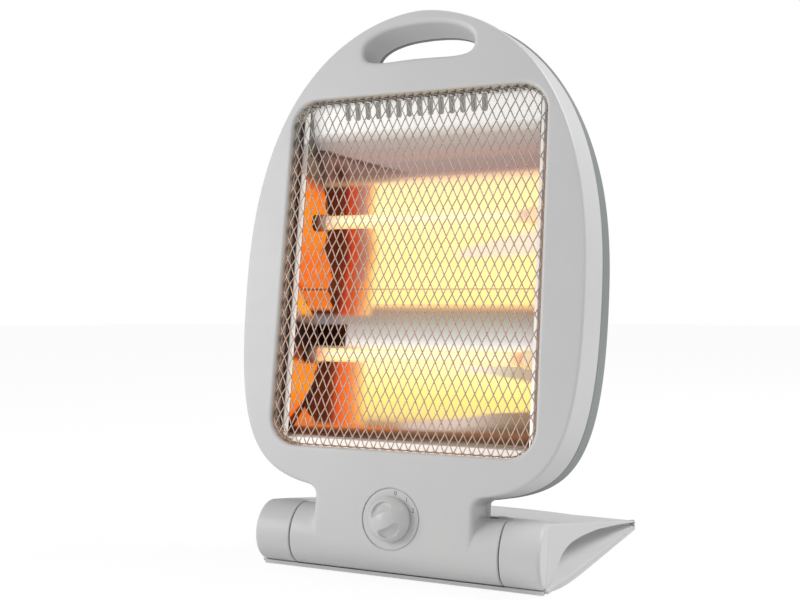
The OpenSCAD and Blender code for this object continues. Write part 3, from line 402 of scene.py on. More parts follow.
egg_turn = np.linspace(0, 1, 49)
crown = curve(np.array([[0, 366], [29.5, 366], [122.7, 343.4], [122.7, 177.4]]), egg_turn)
heel = curve(np.array([[122.7, 177.4], [122.7, 35.9], [98.5, 31.1], [0, 31.1]]), egg_turn)
egg = np.concatenate([crown[:-1], heel])
egg_out = outwards(egg)
egg_out[0], egg_out[-1] = (0, 1), (0, -1)
NECK, NOTCH = 56.0, 7.0
# The notch under the head: an arc that touches both the egg and the neck's side.
under = egg[60:] + NOTCH * egg_out[60:]
notch_t = np.interp(-(NECK + NOTCH), -under[:, 0], under[:, 1])
notch_from = 60 + int(np.argmax(under[:, 0] < NECK + NOTCH))
touch = np.array([NECK + NOTCH, notch_t])
touch_turn = math.atan2(-egg_out[notch_from, 1], -egg_out[notch_from, 0])
notch_turn = np.linspace(touch_turn, math.pi, 11)
notch = touch + NOTCH * np.stack([np.cos(notch_turn), np.sin(notch_turn)], -1)
skirt_edge = np.concatenate([egg[:notch_from], notch])
skirt_out = np.concatenate([egg_out[:notch_from],
                            -np.stack([np.cos(notch_turn), np.sin(notch_turn)], -1)])
to_neck = smooth_step((np.arange(len(skirt_edge)) - notch_from) / 10.0)
flare_share = (1 - 0.65 * np.clip(-skirt_out[:, 1], 0, 1) ** 4) * (1 - to_neck)
corner = 2.2 + 1.0 * to_neck
SIDE_FLARE, JOINT_TURN_IN = 5.0, 1.1

# Side of the head: a quarter round off the face, a flared side and a turned-in joint edge.
bend_turn = np.linspace(0, np.pi / 2, 7)
rise = np.linspace(0, 1, 8)[1:]
ring_out = np.concatenate([
    -corner * (1 - np.sin(bend_turn[:, None])),
    SIDE_FLARE * flare_share * rise[:, None],
    SIDE_FLARE * flare_share - np.array([[JOINT_TURN_IN]])])
ring_depth = np.concatenate([
    corner * (1 - np.cos(bend_turn[:, None])),
    corner + (SEAM - corner) * rise[:, None],
    SEAM + 0 * flare_share[None]])
rings = skirt_edge + ring_out[..., None] * skirt_out
side_points = leaned(rings[..., 0], ring_depth, rings[..., 1])


def mirrored(patch):
    """The same patch on the left, its triangles turned round so that they still face out."""
    points, faces = patch
    return points * (-1, 1, 1), faces[:, ::-1]


# Neck corner: its rounded front edge runs down into the barrel, which it meets in a soft fillet.
NECK_CORNER = 3.2
inner_x = NECK - NECK_CORNER
edge_x = inner_x + NECK_CORNER * np.sin(bend_turn)
edge_d = NECK_CORNER * (1 - np.cos(bend_turn))
meet_t = np.sqrt(BARREL ** 2 - (BARREL - edge_d) ** 2)
lift = 2.5 * (bend_turn / bend_turn[-1]) ** 2
down = np.linspace(0, 1, 9)[:, None]
edge_t = notch_t * (1 - down) + (meet_t + lift) * down
neck_corner = leaned(edge_x, edge_d, edge_t)

front_line = np.stack([np.full(8, NECK_CORNER), edge_t[::-1][:8, -1]], -1)
top_line = np.stack([ring_depth[6:-1, -1], np.full(len(ring_depth) - 7, notch_t)], -1)
start_turn = math.atan2(front_line[0, 1], BARREL - NECK_CORNER)
back_rho = BARREL + 3.28
back_t = math.sqrt(back_rho ** 2 - (SEAM - BARREL) ** 2)
back_line = np.stack([np.full(3, SEAM), np.linspace(notch_t, back_t, 4)[1:]], -1)
wall_rim = np.concatenate([front_line, top_line, back_line])
wall_turn = np.arctan2(wall_rim[:, 1], BARREL - wall_rim[:, 0])
spread = smooth_step((wall_turn - start_turn) / math.radians(22))
first_rho = math.hypot(front_line[0, 1], BARREL - NECK_CORNER)
wall_rho = first_rho + (back_rho - first_rho) * spread
wall_foot = np.stack([BARREL - wall_rho * np.cos(wall_turn), wall_rho * np.sin(wall_turn)], -1)
climb = np.linspace(0, 1, 5)[:, None, None]
wall_grid = wall_foot * (1 - climb) + wall_rim * climb
neck_wall = leaned(np.full(wall_grid.shape[:2], NECK), wall_grid[..., 0], wall_grid[..., 1])

seam_turn = math.acos((BARREL - SEAM) / BARREL)
meet_turn = np.arccos((BARREL - edge_d) / BARREL)
top_turn = meet_turn[-1] + ((wall_turn - wall_turn[0]) / (wall_turn[-1] - wall_turn[0])
                            * (seam_turn - meet_turn[-1]))
turns = np.concatenate([meet_turn, top_turn[1:]])
settled = np.exp(-(top_turn[1:] - top_turn[0]) / 0.3)
spill = np.concatenate([9.0 * (bend_turn / bend_turn[-1]), wall_rho[1:] - BARREL + 0.55
                        + (8.5 - wall_rho[0] + BARREL) * settled])
foot_x = np.concatenate([edge_x, np.full(len(top_turn) - 1, NECK)])
on_barrel = np.stack([BARREL * (1 - np.cos(turns)), BARREL * np.sin(turns)], -1)
neck_foot = np.concatenate([np.stack([edge_d, meet_t + lift], -1), wall_foot[1:]])
w = np.linspace(0, 1, 6)[:, None]
fillet_x = (1 - w) ** 2 * (foot_x + spill) + 2 * w * (1 - w) * foot_x + w * w * foot_x
w = w[..., None]
fillet_dt = (1 - w) ** 2 * on_barrel + 2 * w * (1 - w) * on_barrel + w * w * neck_foot
neck_fillet = leaned(fillet_x, fillet_dt[..., 0], fillet_dt[..., 1])

# Barrel beside the neck, and its softly rounded ends next to the stand.
TURNING_HALF, TURNING_EDGE = 73.1, 1.1
straight_x = TURNING_HALF - TURNING_EDGE
across = np.linspace(0, 1, 6)[:, None]
beside = (foot_x + spill) * (1 - across) + straight_x * across
barrel_side = leaned(beside, on_barrel[:, 0], on_barrel[:, 1])
roll_turn = np.linspace(0, -seam_turn, 28)
end_turns = np.concatenate([turns[::-1], roll_turn[1:]])
end_x = np.concatenate([straight_x + TURNING_EDGE * np.sin(bend_turn), [TURNING_HALF] * 2])
end_rho = np.concatenate([BARREL - TURNING_EDGE * (1 - np.cos(bend_turn)), [18.4, 17.0]])
barrel_end = leaned(end_x[:, None], BARREL - end_rho[:, None] * np.cos(end_turns),
                    end_rho[:, None] * np.sin(end_turns))

# Face: one flat sheet that rolls under along the barrel, with openings for the window, the
# grip and the dial.
WINDOW = dict(half=94.1, low=59.5, high=306.3, r=20.0)
LIP_ROUND, LIP_DEPTH, LIP_TURN = 2.0, 12.4, 1.4
GRIP_HALF, GRIP_TOP, GRIP_FOOT, GRIP_ROUND = 41, 356, 331, 3.4
DIAL_AT, DIAL_HOLE = 16.0, 20.3


def window_path(grow):
    """The window: a tall rectangle with round corners."""
    return rounded_box(WINDOW["half"] + grow, WINDOW["low"] - grow, WINDOW["high"] + grow,
                       WINDOW["r"] + grow)


def signed_power(value, power):
    """A power of the value's size, with the value's sign."""
    return np.sign(value) * np.abs(value) ** power


def grip_path(grow):
    """The grip hole: a long oval whose top and bottom both arch upwards."""
    a = np.linspace(0, 2 * np.pi, 97)[:-1]
    x = (GRIP_HALF + grow) * signed_power(np.cos(a), 0.5)
    arch = (x / (GRIP_HALF + grow)) ** 2
    high, low = GRIP_TOP + grow - 6 * arch, GRIP_FOOT - grow - 3.5 * arch
    return np.stack([x, (high + low) / 2 + (high - low) / 2 * signed_power(np.sin(a), 0.75)], -1)


def circle_path(x, t, r, points=64):
    """A round hole's outline."""
    a = np.linspace(0, 2 * np.pi, points + 1)[:-1]
    return np.stack([x + r * np.cos(a), t + r * np.sin(a)], -1)


def rolled(x, s):
    """The face sheet: flat above the hinge's height, and below it rolled round the barrel."""
    turn = np.clip(-s, 0, None) / BARREL
    return leaned(x, BARREL * (1 - np.cos(turn)), np.where(s < 0, -BARREL * np.sin(turn), s))


def kept_clear(points, outer, holes, clear):
    """Those of the points that lie inside the outer path, clear of it and of the holes."""
    keep = inside(points, outer)
    for path in holes:
        keep &= ~inside(points, path)
    points = points[keep]
    keep = np.full(len(points), True)
    for path in [outer] + list(holes):
        keep &= np.linalg.norm(points[:, None] - path, axis=2).min(1) > clear
    return points[keep]


def spread_points(low, high, step, outer, holes, clear):
    """An even lattice of points inside the outer path, clear of it and of the holes."""
    x, s = np.meshgrid(np.arange(low[0], high[0], step[0]), np.arange(low[1], high[1], step[1]))
    return kept_clear(np.stack([x.ravel(), s.ravel()], -1), outer, holes, clear)


right_rim = rings[0]
right_face = np.concatenate([
    right_rim, np.stack([np.full(8, inner_x), edge_t[1:, 0]], -1),
    np.stack([beside[1:, 0], np.zeros(5)], -1),
    np.stack([np.full(27, straight_x), roll_turn[1:] * BARREL], -1)])
foot_line = np.stack([np.linspace(straight_x, -straight_x, 30)[1:-1],
                      np.full(28, -seam_turn * BARREL)], -1)
face_edge = np.concatenate([right_face, foot_line, (right_face * (-1, 1))[::-1][:-1]])
face_holes = [window_path(LIP_ROUND), grip_path(GRIP_ROUND), circle_path(0, DIAL_AT, DIAL_HOLE)]
guards = np.concatenate([
    rings[0] - 0.9 * skirt_out, (rings[0] - 0.9 * skirt_out)[1:] * (-1, 1),
    window_path(LIP_ROUND + 0.9), grip_path(GRIP_ROUND + 0.9),
    circle_path(0, DIAL_AT, DIAL_HOLE + 0.8)])
face_fill = np.concatenate([
    guards, spread_points((-120, 1), (121, 365), (8, 8), face_edge, face_holes, 2.5),
    spread_points((-71, -seam_turn * BARREL + 1.5), (72, 0), (5, 1.5), face_edge, face_holes, 1.2)])
face_sheet = filled(face_edge, face_holes, face_fill, rolled)


def well(path_of, profile):
    """A wall down round a hole: the hole's path grown by each profile step, at that depth."""
    rows = [leaned(*np.broadcast_arrays(path_of(grow)[:, 0], depth, path_of(grow)[:, 1]))
            for grow, depth in profile]
    return sheet(np.stack(rows), round_v=True)


def rounded_profile(r, depth):
    """Growth and depth steps of a hole's edge: a quarter round, a straight wall, a turned end."""
    steps = [(r * (1 - math.sin(a)), r * (1 - math.cos(a))) for a in bend_turn]
    return steps + [(0, r + (depth - r) * k / 4) for k in (1, 2, 3, 4)] + [(LIP_TURN, depth)]


dial_rows = np.stack([rolled(*circle_path(0, DIAL_AT, DIAL_HOLE).T)]
                     + [leaned(*np.broadcast_arrays(circle_path(0, DIAL_AT, r)[:, 0], depth,
                                                    circle_path(0, DIAL_AT, r)[:, 1]))
                        for r, depth in ((20.1, 0.75), (20.0, 1.2), (17.0, 1.2))])
shell_patches = [face_sheet, well(window_path, rounded_profile(LIP_ROUND, LIP_DEPTH)),
                 well(grip_path, rounded_profile(GRIP_ROUND, SEAM)),
                 sheet(dial_rows, round_v=True)]
for patch in (sheet(side_points), sheet(neck_corner), sheet(neck_wall), sheet(neck_fillet),
              sheet(barrel_side), sheet(barrel_end)):
    shell_patches += [patch, mirrored(patch)]


def moulded(finish, tone, soft=0.35):
    """Satin moulding: a hair of mottling in its grey, fine spark-eroded grain, and faint
    wiping marks that change the gloss."""
    cloud = finish.grain(26.0, 4.0)
    fine = finish.grain(1900.0, 2.0)
    wiped = finish.grain(60.0, 3.0, at=finish.stretched(0.25, 1.0, 2.2))
    light = seen_colour(*[min(v + 3, 255) for v in tone])
    dark = seen_colour(*[v - 4 for v in tone])
    return finish.feed(Base_Color=finish.blend(cloud, dark, light),
                       Roughness=wiped * 0.12 + soft,
                       Normal=finish.bump(fine, 0.22, 0.00006))


shell_finish = Finish("shell_plastic", Specular_IOR_Level=0.42, Coat_Weight=0.12,
                      Coat_Roughness=0.25)
moulded(shell_finish, (215, 215, 215))
front_shell = build("front_shell_moulding", shell_patches, shell_finish.material,
                    facing=(0, -1, 0))
walled(front_shell, SHELL_WALL)
evened(front_shell)
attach(front_shell, "head")
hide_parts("front_shell")

# ---- Rear cover ------------------------------------------------------------------------------
# The dark grey back half of the head: it domes back behind the tubes and thins towards the
# grip. It has two rows of cooling slots and eight wells for the screws that draw the front
# shell onto it. Its lower end, the back of the neck and of the barrel, is a mesh of its own in
# the front shell's light plastic.
BELLY, DEEPEST, DOME_REACH = 45.0, 70.0, 30.0
NECK_BACK = 2 * BARREL
POSTS = ((109.0, 105.0), (109.0, 240.0), (58.0, 318.0), (72.0, 46.0))
VENT_TALL, VENT_PITCH, VENT_ROWS = 34, 11.0, (92.0, 236.0)
CORD_HOLE = (-60, 78, 6.2)
egg_share = 1 - 0.65 * np.clip(-egg_out[:, 1], 0, 1) ** 4
egg_loop = np.concatenate([egg, (egg * (-1, 1))[::-1][1:-1]])
loop_share = np.concatenate([egg_share, egg_share[::-1][1:-1]])


def thinned(depth, t):
    """The back's depth, drawn in towards the joint where the grip is."""
    return SEAM + (depth - SEAM) * (1 - 0.84 * smooth_step((t - 238) / 112))


def dome(x, t):
    """Depth of the domed back: a quarter turn of an ellipse from the egg's edge inwards, then
    level. The turn's cosine falls with the distance to the nearest stretch of the edge."""
    spot = np.stack([x, t], -1)
    a, b = egg_loop, np.roll(egg_loop, -1, 0)
    along = np.clip(((spot[:, None] - a) * (b - a)).sum(-1) / ((b - a) ** 2).sum(-1), 0, 1)
    gap = np.linalg.norm(a + along[..., None] * (b - a) - spot[:, None], axis=-1)
    nearest = gap.argmin(1)
    rows = np.arange(len(spot))
    part = along[rows, nearest]
    share = loop_share[nearest] * (1 - part) + np.roll(loop_share, -1)[nearest] * part
    out = gap[rows, nearest] * np.where(inside(spot, egg_loop), -1, 1)
    belly = share * (SIDE_FLARE + 1.5)
    cosine = np.clip(1 - (belly - out) / (belly + DOME_REACH), 0, 1)
    return thinned(BELLY + (DEEPEST - BELLY) * np.sqrt(1 - cosine ** 2), t)


def dome_ring(turns_in):
    """Points of the right half of the dome's edge at each turn, as flat places and depths."""
    a = np.radians(turns_in)[:, None]
    belly = egg_share * (SIDE_FLARE + 1.5)
    flat = egg + (belly - (belly + DOME_REACH) * (1 - np.cos(a)))[..., None] * egg_out
    return flat, thinned(BELLY + (DEEPEST - BELLY) * np.sin(a) + 0 * belly, flat[..., 1])


side_out = egg_share * SIDE_FLARE + 0.4
side_rise = np.array([0, 0, 0.06, 0.2, 0.45, 0.72])[:, None]
side_flat = egg + ((side_out + side_rise * (egg_share * 1.5 - 0.4)
                    - np.array([1.6, 0.4, 0, 0, 0, 0])[:, None])[..., None] * egg_out)
side_depth = SEAM + (thinned(BELLY, side_flat[..., 1]) - SEAM) * side_rise
ring_flat, ring_deep = dome_ring([0, 7, 13, 18, 23])
back_flat = np.concatenate([side_flat, ring_flat])
back_deep = np.concatenate([side_depth, ring_deep])
dome_side = leaned(back_flat[..., 0], back_deep, back_flat[..., 1])

back_edge = np.concatenate([ring_flat[-1], (ring_flat[-1] * (-1, 1))[::-1][1:-1]])


def vent_path(x, low, grow):
    """A cooling slot: upright, with round ends."""
    box = rounded_box(2 + grow, low - grow, low + VENT_TALL + grow, 1.9 + grow, 5, 1, 10)
    return box + (x, 0)


vents = [(VENT_PITCH * i, low) for low in VENT_ROWS for i in range(-4, 5)]
wells = [(side * x, t) for side in (1, -1) for x, t in POSTS]
back_holes = ([grip_path(3.0)] + [vent_path(x, low, 0.5) for x, low in vents]
              + [circle_path(x, t, 4.0, 24) for x, t in wells] + [circle_path(*CORD_HOLE, 40)])
inner_rings = dome_ring([31, 40, 50, 60, 70, 80, 90])[0].reshape(-1, 2)
inner_rings = np.concatenate([inner_rings, inner_rings * (-1, 1)])
dome_fill = np.concatenate([
    kept_clear(inner_rings[::2], back_edge, back_holes, 1.6),
    spread_points((-90, 64), (91, 332), (6, 6), back_edge, back_holes, 1.9)])
dome_sheet = filled(back_edge, back_holes, dome_fill, lambda x, t: leaned(x, dome(x, t), t))


def bored(path_of, steps, floor=None):
    """A wall sunk into the back: at each step the hole's path grown, and how far under the
    dome it lies, or how far of the way on to a floor at a fixed depth."""
    rows = []
    for grow, sunk, way in steps:
        path = path_of(grow)
        deep = dome(path[:, 0], path[:, 1]) - sunk
        deep = deep if floor is None else deep * (1 - way) + floor * way
        rows.append(leaned(path[:, 0], deep, path[:, 1]))
    return sheet(np.stack(rows), round_v=True)


eased = [(3 * (1 - math.sin(a)), 3 * (1 - math.cos(a)), 0) for a in bend_turn]
cover_patches = [sheet(dome_side), mirrored(sheet(dome_side)), dome_sheet,
                 bored(grip_path, eased + [(0, 3, 0.35), (0, 3, 0.7), (0, 3, 1)], SEAM)]
cover_patches += [bored(lambda grow, x=x, low=low: vent_path(x, low, grow),
                        [(0.5, 0, 0), (0.15, 0.15, 0), (0, 0.5, 0)]) for x, low in vents]
cover_patches += [bored(lambda grow, x=x, t=t: circle_path(x, t, 3.5 + grow, 24),
                        [(0.5, 0, 0), (0.15, 0.15, 0), (0, 0.5, 0), (0, 0.5, 0.5), (0, 0.5, 1),
                         (-1.9, 0.5, 1)], 31.0) for x, t in wells]

# Back of the neck: side walls with a rounded rear edge, down to the barrel behind the joint.
EDGE = 2.0
neck_deep = np.concatenate([np.linspace(SEAM, NECK_BACK - EDGE, 5)[:-1],
                            NECK_BACK - EDGE * (1 - np.sin(bend_turn))])
neck_in = np.concatenate([np.zeros(4), EDGE * (1 - np.cos(bend_turn))])
foot_turn = np.pi - np.arccos(np.clip((neck_deep - BARREL) / BARREL, -1, 1))
foot_t = BARREL * np.sin(foot_turn)
arc = touch + ((NOTCH + neck_in[:, None, None])
               * np.stack([np.cos(notch_turn), np.sin(notch_turn)], -1))
drop = np.linspace(0, 1, 9)[1:]
fall_t = notch_t + (foot_t[:, None] - notch_t) * drop
neck_path = np.concatenate([arc, np.stack([np.broadcast_to(NECK - neck_in[:, None], fall_t.shape),
                                           fall_t], -1)], 1)
neck_side = leaned(neck_path[..., 0], neck_deep[:, None], neck_path[..., 1])
shoulder = ((NECK - neck_in[:, None]) * (1 - across.T) + straight_x * across.T)
barrel_shoulder = leaned(shoulder, neck_deep[:, None], foot_t[:, None])
under_turn = np.linspace(0, np.pi - seam_turn, 25)
back_right = np.concatenate([neck_path[-1], np.stack([shoulder[-1, 1:], np.zeros(5)], -1),
                             np.stack([np.full(24, straight_x), -under_turn[1:] * BARREL], -1)])
back_foot = np.stack([np.linspace(straight_x, -straight_x, 30)[1:-1],
                      np.full(28, -under_turn[-1] * BARREL)], -1)
back_left = (back_right * (-1, 1))[::-1]
back_outline = np.concatenate([back_right, back_foot, back_left])


def rolled_back(x, s):
    """The neck's rear plane, which rolls under round the barrel below the hinge's height."""
    turn = np.pi + np.clip(-s, 0, None) / BARREL
    return leaned(x, BARREL * (1 - np.cos(turn)), np.where(s < 0, BARREL * np.sin(turn), s))


back_fill = np.concatenate([
    spread_points((-70, 1.5), (71, 33), (7, 5), back_outline, [], 1.5),
    spread_points((-71, -under_turn[-1] * BARREL + 1.2), (72, 0), (6, 1.6), back_outline, [],
                  1.0)])
back_turns = np.concatenate([foot_turn, np.pi + under_turn[1:]])
back_end = leaned(end_x[:, None], BARREL - end_rho[:, None] * np.cos(back_turns),
                  end_rho[:, None] * np.sin(back_turns))
neck_patches = [filled(back_outline, [], back_fill, rolled_back)]
for patch in (sheet(neck_side), sheet(barrel_shoulder), sheet(back_end)):
    neck_patches += [patch, mirrored(patch)]

cover_finish = Finish("cover_plastic", Specular_IOR_Level=0.4, Coat_Weight=0.08,
                      Coat_Roughness=0.35)
moulded(cover_finish, (134, 139, 138), 0.42)
rear_cover = build("rear_cover_moulding", cover_patches, cover_finish.material,
                   facing=(0, 1, 0))
neck_back = build("neck_back_moulding", neck_patches, shell_finish.material, facing=(0, 1, 0))
for moulding, moulding_slot in ((rear_cover, "cover_grey"), (neck_back, "shell_grey")):
    walled(moulding, SHELL_WALL)
    evened(moulding)
    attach(moulding, "head")
    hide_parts("rear_cover")

# ---- Grille ----------------------------------------------------------------------------------
# A safety net of fine plated wire behind the face, woven in tall diamonds. Its edge is folded
# back all round in a tight bend and pressed between the window's wall and the reflector.
NET_WIDE, NET_TALL, STRAND, WEAVE = 6.25, 13.0, 0.44, 0.34
FOLD_HALF, FOLD_LOW, FOLD_HIGH, FOLD_CORNER, FOLD_BEND = 90.6, 63.0, 302.8, 16.5, 2.5
NET_DEPTH, NET_TURNED, NET_MIDDLE = 1.3, 12.6, 184.0


def to_fold(x, t):
    """Distance of a flat place outside the fold line, a box with round corners, and the
    outward direction there."""
    way = np.stack([np.sign(x) + (x == 0), np.sign(t - (FOLD_LOW + FOLD_HIGH) / 2)], -1)
    q = np.abs(np.stack([x, t - (FOLD_LOW + FOLD_HIGH) / 2], -1))
    q = q - (FOLD_HALF - FOLD_CORNER, (FOLD_HIGH - FOLD_LOW) / 2 - FOLD_CORNER)
    past = np.maximum(q, 0)
    length = np.linalg.norm(past, axis=-1)
    level = np.stack([q[..., 0] > q[..., 1], q[..., 0] <= q[..., 1]], -1).astype(float)
    out = np.where(length[..., None] > 0, past / np.maximum(length, 1e-9)[..., None], level)
    return length + np.minimum(q.max(-1), 0) - FOLD_CORNER, out * way


def folded_net(x, t, lift):
    """A flat net place carried round the fold: on the face, on the bend, then straight back.
    The lift is along the net's own face. Returns the place and the way that the net faces."""
    reach, out = to_fold(x, t)
    edge = np.stack([x, t], -1) - np.maximum(reach, 0)[..., None] * out
    turn = np.clip(reach / FOLD_BEND, 0, np.pi / 2)
    run = np.clip(reach - FOLD_BEND * np.pi / 2, 0, None)
    flat = edge + (FOLD_BEND * np.sin(turn) + lift * np.sin(turn))[..., None] * out
    deep = NET_DEPTH + FOLD_BEND * (1 - np.cos(turn)) + run - lift * np.cos(turn)
    face_way = np.stack([out[..., 0] * np.sin(turn), -np.cos(turn),
                         out[..., 1] * np.sin(turn)], -1)
    return np.stack([flat[..., 0], deep, flat[..., 1]], -1), face_way


def bar(path, face_way, radius, sides=5):
    """A round bar along a path: a ring square to the path at each point, one of its points
    turned the way the path faces, and a point at each end that closes it."""
    tangent = np.gradient(path, axis=0)
    tangent = tangent / np.linalg.norm(tangent, axis=1, keepdims=True)
    side = np.cross(tangent, face_way)
    side = side / np.linalg.norm(side, axis=1, keepdims=True)
    turn = np.linspace(0, 2 * np.pi, sides + 1)[:-1]
    ring = path[:, None] + radius * (np.cos(turn)[:, None] * np.cross(side, tangent)[:, None]
                                     + np.sin(turn)[:, None] * side[:, None])
    ends = [np.repeat(path[k][None, None], sides, 1) for k in (0, -1)]
    return np.concatenate([ends[0], ring, ends[1]])


net_patches = []
for slant in (1, -1):
    for number in range(-42, 43):
        high = np.arange(44.0, 322.0, 0.25)
        middle = NET_WIDE * number + slant * NET_WIDE / NET_TALL * (high - NET_MIDDLE)
        on_net = high[to_fold(middle, high)[0] < NET_TURNED]
        if len(on_net) < 20:
            continue
        high = np.linspace(on_net[0], on_net[-1], max(8, int((on_net[-1] - on_net[0]) / 1.75)))
        middle = NET_WIDE * number + slant * NET_WIDE / NET_TALL * (high - NET_MIDDLE)
        crossing = middle / NET_WIDE + slant * (high - NET_MIDDLE) / NET_TALL
        lift = slant * WEAVE * np.cos(np.pi * (crossing + number))
        at, face_way = folded_net(middle, high, lift)
        strand = leaned(*np.moveaxis(bar(at, face_way, STRAND), -1, 0))
        net_patches.append(sheet(strand, round_v=True))


def head_axes(finish):
    """The head's own x, depth and height in millimetres, read back from the place on a piece
    by undoing the lean."""
    x, y, z = (finish.place(axis) for axis in range(3))
    y, z = y - hinge_y, z - hinge_z
    deep = (y * math.cos(LEAN) - z * math.sin(LEAN)) * 1000 + BARREL
    return x * 1000, deep, (y * math.sin(LEAN) + z * math.cos(LEAN)) * 1000


def banded(finish, value, *bands):
    """A colour that runs through bands, each a position and its 0 to 255 picture values."""
    first, last = bands[0][0], bands[-1][0]
    return finish.ramp((value - first) / (last - first), *(
        ((at - first) / (last - first), seen_colour(*tone)) for at, tone in bands))


net_finish = Finish("plated_wire", Metallic=0.5, Specular_IOR_Level=0.5)
wire_x, _, wire_t = head_axes(net_finish)
heat = net_finish.grain(300.0, 3.0)
# Painted light and shade: warm where the tubes' glow falls on the wire, cooler above it, and dark in the fold
# at the top and the left.
glow_lit_wire = net_finish.blend(heat, seen_colour(198, 172, 158), seen_colour(224, 200, 186))
cool_wire = net_finish.blend(heat, seen_colour(164, 163, 160), seen_colour(194, 192, 189))
wire_tone = net_finish.blend(net_finish.fade(wire_t, 248.0, 282.0), glow_lit_wire, cool_wire)
corner_shade = net_finish.fade(wire_t, 301.0, 305.0) | net_finish.fade(wire_x * -1, 90.5, 93.0)
net_finish.feed(Base_Color=net_finish.blend(corner_shade * 0.8, wire_tone, seen_colour(88, 72, 70)),
                Roughness=net_finish.grain(700.0, 2.0) * 0.2 + 0.28,
                Normal=net_finish.bump(net_finish.grain(5000.0, 1.0), 0.1, 0.00002))
net = build("grille_net", net_patches, net_finish.material, sharp=180)
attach(net, "head")
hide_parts("grille", "grille_rim")

# ---- Reflector -------------------------------------------------------------------------------
# One bright rolled sheet behind the net: two curved troughs that meet in a ridge, a slotted
# white panel above them and a flange round the window with four screw ears. What the polished
# troughs throw back is painted as glow: yellow bands from the tubes, and the left end plate's
# red.
TROUGH, TROUGH_LOW, TROUGH_HALF = 53.0, 66.9, 87.1
RIDGE_T, RIDGE_D, PANEL_T, PANEL_D = 170.5, 17.5, 285.0, 21.0
LOWER_TUBE, UPPER_TUBE, TUBE_D = 125.0, 223.0, 33.0
FLANGE_D, PANEL_TOP, PANEL_LIP = 13.2, 307.8, 13.6
EAR_X, EAR_R, EAR_T = 100.506, 3.6, (85.0, 265.0)
COMB_HALF, COMB_LOW, COMB_HIGH, COMB_ROUND = 2.1, 294.6, 306.8, 2.05
COMB_COUNT, COMB_PITCH, COMB_FROM = 14, 8.0, -58.0
FLANGE_HALF, FLANGE_LOW, FLANGE_HIGH, FLANGE_ROUND = 98.6, 55.0, 310.8, 24.5
TROUGH_SHEET, PLATE_SHEET = 0.0006, 0.0007


def bow(t, middle, edge, edge_d):
    """A trough's depth: a parabola, deepest at the tube's height, through its edge."""
    return TROUGH - (TROUGH - edge_d) * ((t - middle) / (edge - middle)) ** 2


def trough_depth(t):
    """The troughs' depth, from the lower edge over both tubes and the ridge to the panel."""
    lower = np.where(t < LOWER_TUBE, bow(t, LOWER_TUBE, TROUGH_LOW, FLANGE_D),
                     bow(t, LOWER_TUBE, RIDGE_T, RIDGE_D))
    upper = np.where(t < UPPER_TUBE, bow(t, UPPER_TUBE, RIDGE_T, RIDGE_D),
                     bow(t, UPPER_TUBE, PANEL_T, PANEL_D))
    return np.where(t < RIDGE_T, lower, upper)


def panel_depth(t):
    """The white panel's depth: it leans forward from the upper trough to the lip."""
    return PANEL_D + (PANEL_LIP - PANEL_D) * (t - PANEL_T) / (PANEL_TOP - PANEL_T)


def panel_slot(number, thin=0):
    """The outline of one of the panel's slots, drawn in by a margin."""
    box = rounded_box(COMB_HALF - thin, COMB_LOW + thin, COMB_HIGH - thin, COMB_ROUND - thin,
                      5, 1, 4)
    return box + (COMB_PITCH * number + COMB_FROM, 0)


trough_t = np.concatenate([np.linspace(a, b, 25)[:-1] for a, b in (
    (TROUGH_LOW, LOWER_TUBE), (LOWER_TUBE, RIDGE_T), (RIDGE_T, UPPER_TUBE), (UPPER_TUBE, PANEL_T))]
    + [np.array([PANEL_T])])
trough_x = np.linspace(-TROUGH_HALF, TROUGH_HALF, 41)
troughs = leaned(trough_x[:, None], trough_depth(trough_t), trough_t)

panel_edge = np.concatenate([
    np.stack([trough_x, np.full(41, PANEL_T)], -1),
    np.stack([trough_x[::-1], np.full(41, PANEL_TOP)], -1)])
panel_slots = [panel_slot(number) for number in range(COMB_COUNT)]
panel_fill = spread_points((-85, 288), (86, 306), (5, 4), panel_edge, panel_slots, 1.0)
panel_sheet = filled(panel_edge, panel_slots, panel_fill,
                     lambda x, t: leaned(x, panel_depth(t), t))
# Each slot is a shallow pocket, closed by a floor that narrows to a line.
slot_pockets = []
for number in range(COMB_COUNT):
    pocket = [(panel_slot(number, thin), sunk)
              for thin, sunk in ((0, 0), (0, 0.5), (0, 1.1), (1.0, 1.1), (2.0, 1.1))]
    slot_pockets.append(sheet(np.stack([
        leaned(path[:, 0], panel_depth(path[:, 1]) + sunk, path[:, 1])
        for path, sunk in pocket]), round_v=True))

# Returns: short side walls that close the corner between the panel and the flange.
return_t = np.linspace(270.0, 306.0, 25)[:, None]
return_back = np.where(return_t < PANEL_T, bow(return_t, UPPER_TUBE, PANEL_T, PANEL_D),
                       panel_depth(return_t))
return_d = FLANGE_D + (return_back - FLANGE_D) * np.linspace(0, 1, 7)
side_returns = [sheet(leaned(side * TROUGH_HALF + 0 * return_d, return_d, return_t + 0 * return_d))
                for side in (-1, 1)]

flange_edge = rounded_box(FLANGE_HALF, FLANGE_LOW, FLANGE_HIGH, FLANGE_ROUND, 8, 20, 130)
ear_bulge = sum(np.sqrt(np.clip(1 - ((flange_edge[:, 1] - t) / (EAR_R + 1.2)) ** 2, 0, 1))
                for t in EAR_T)
flange_edge[:, 0] += np.sign(flange_edge[:, 0]) * (EAR_X + EAR_R - FLANGE_HALF) * ear_bulge
flange_gap = np.concatenate([
    np.stack([trough_x, np.full(41, TROUGH_LOW)], -1),
    np.array([[TROUGH_HALF, 306.0], [-TROUGH_HALF, 306.0]])])
flange_sheet = filled(flange_edge, [flange_gap], spread_points(
    (-97, 57), (98, 310), (4, 4), flange_edge, [flange_gap], 1.5),
    lambda x, t: leaned(x, FLANGE_D, t))
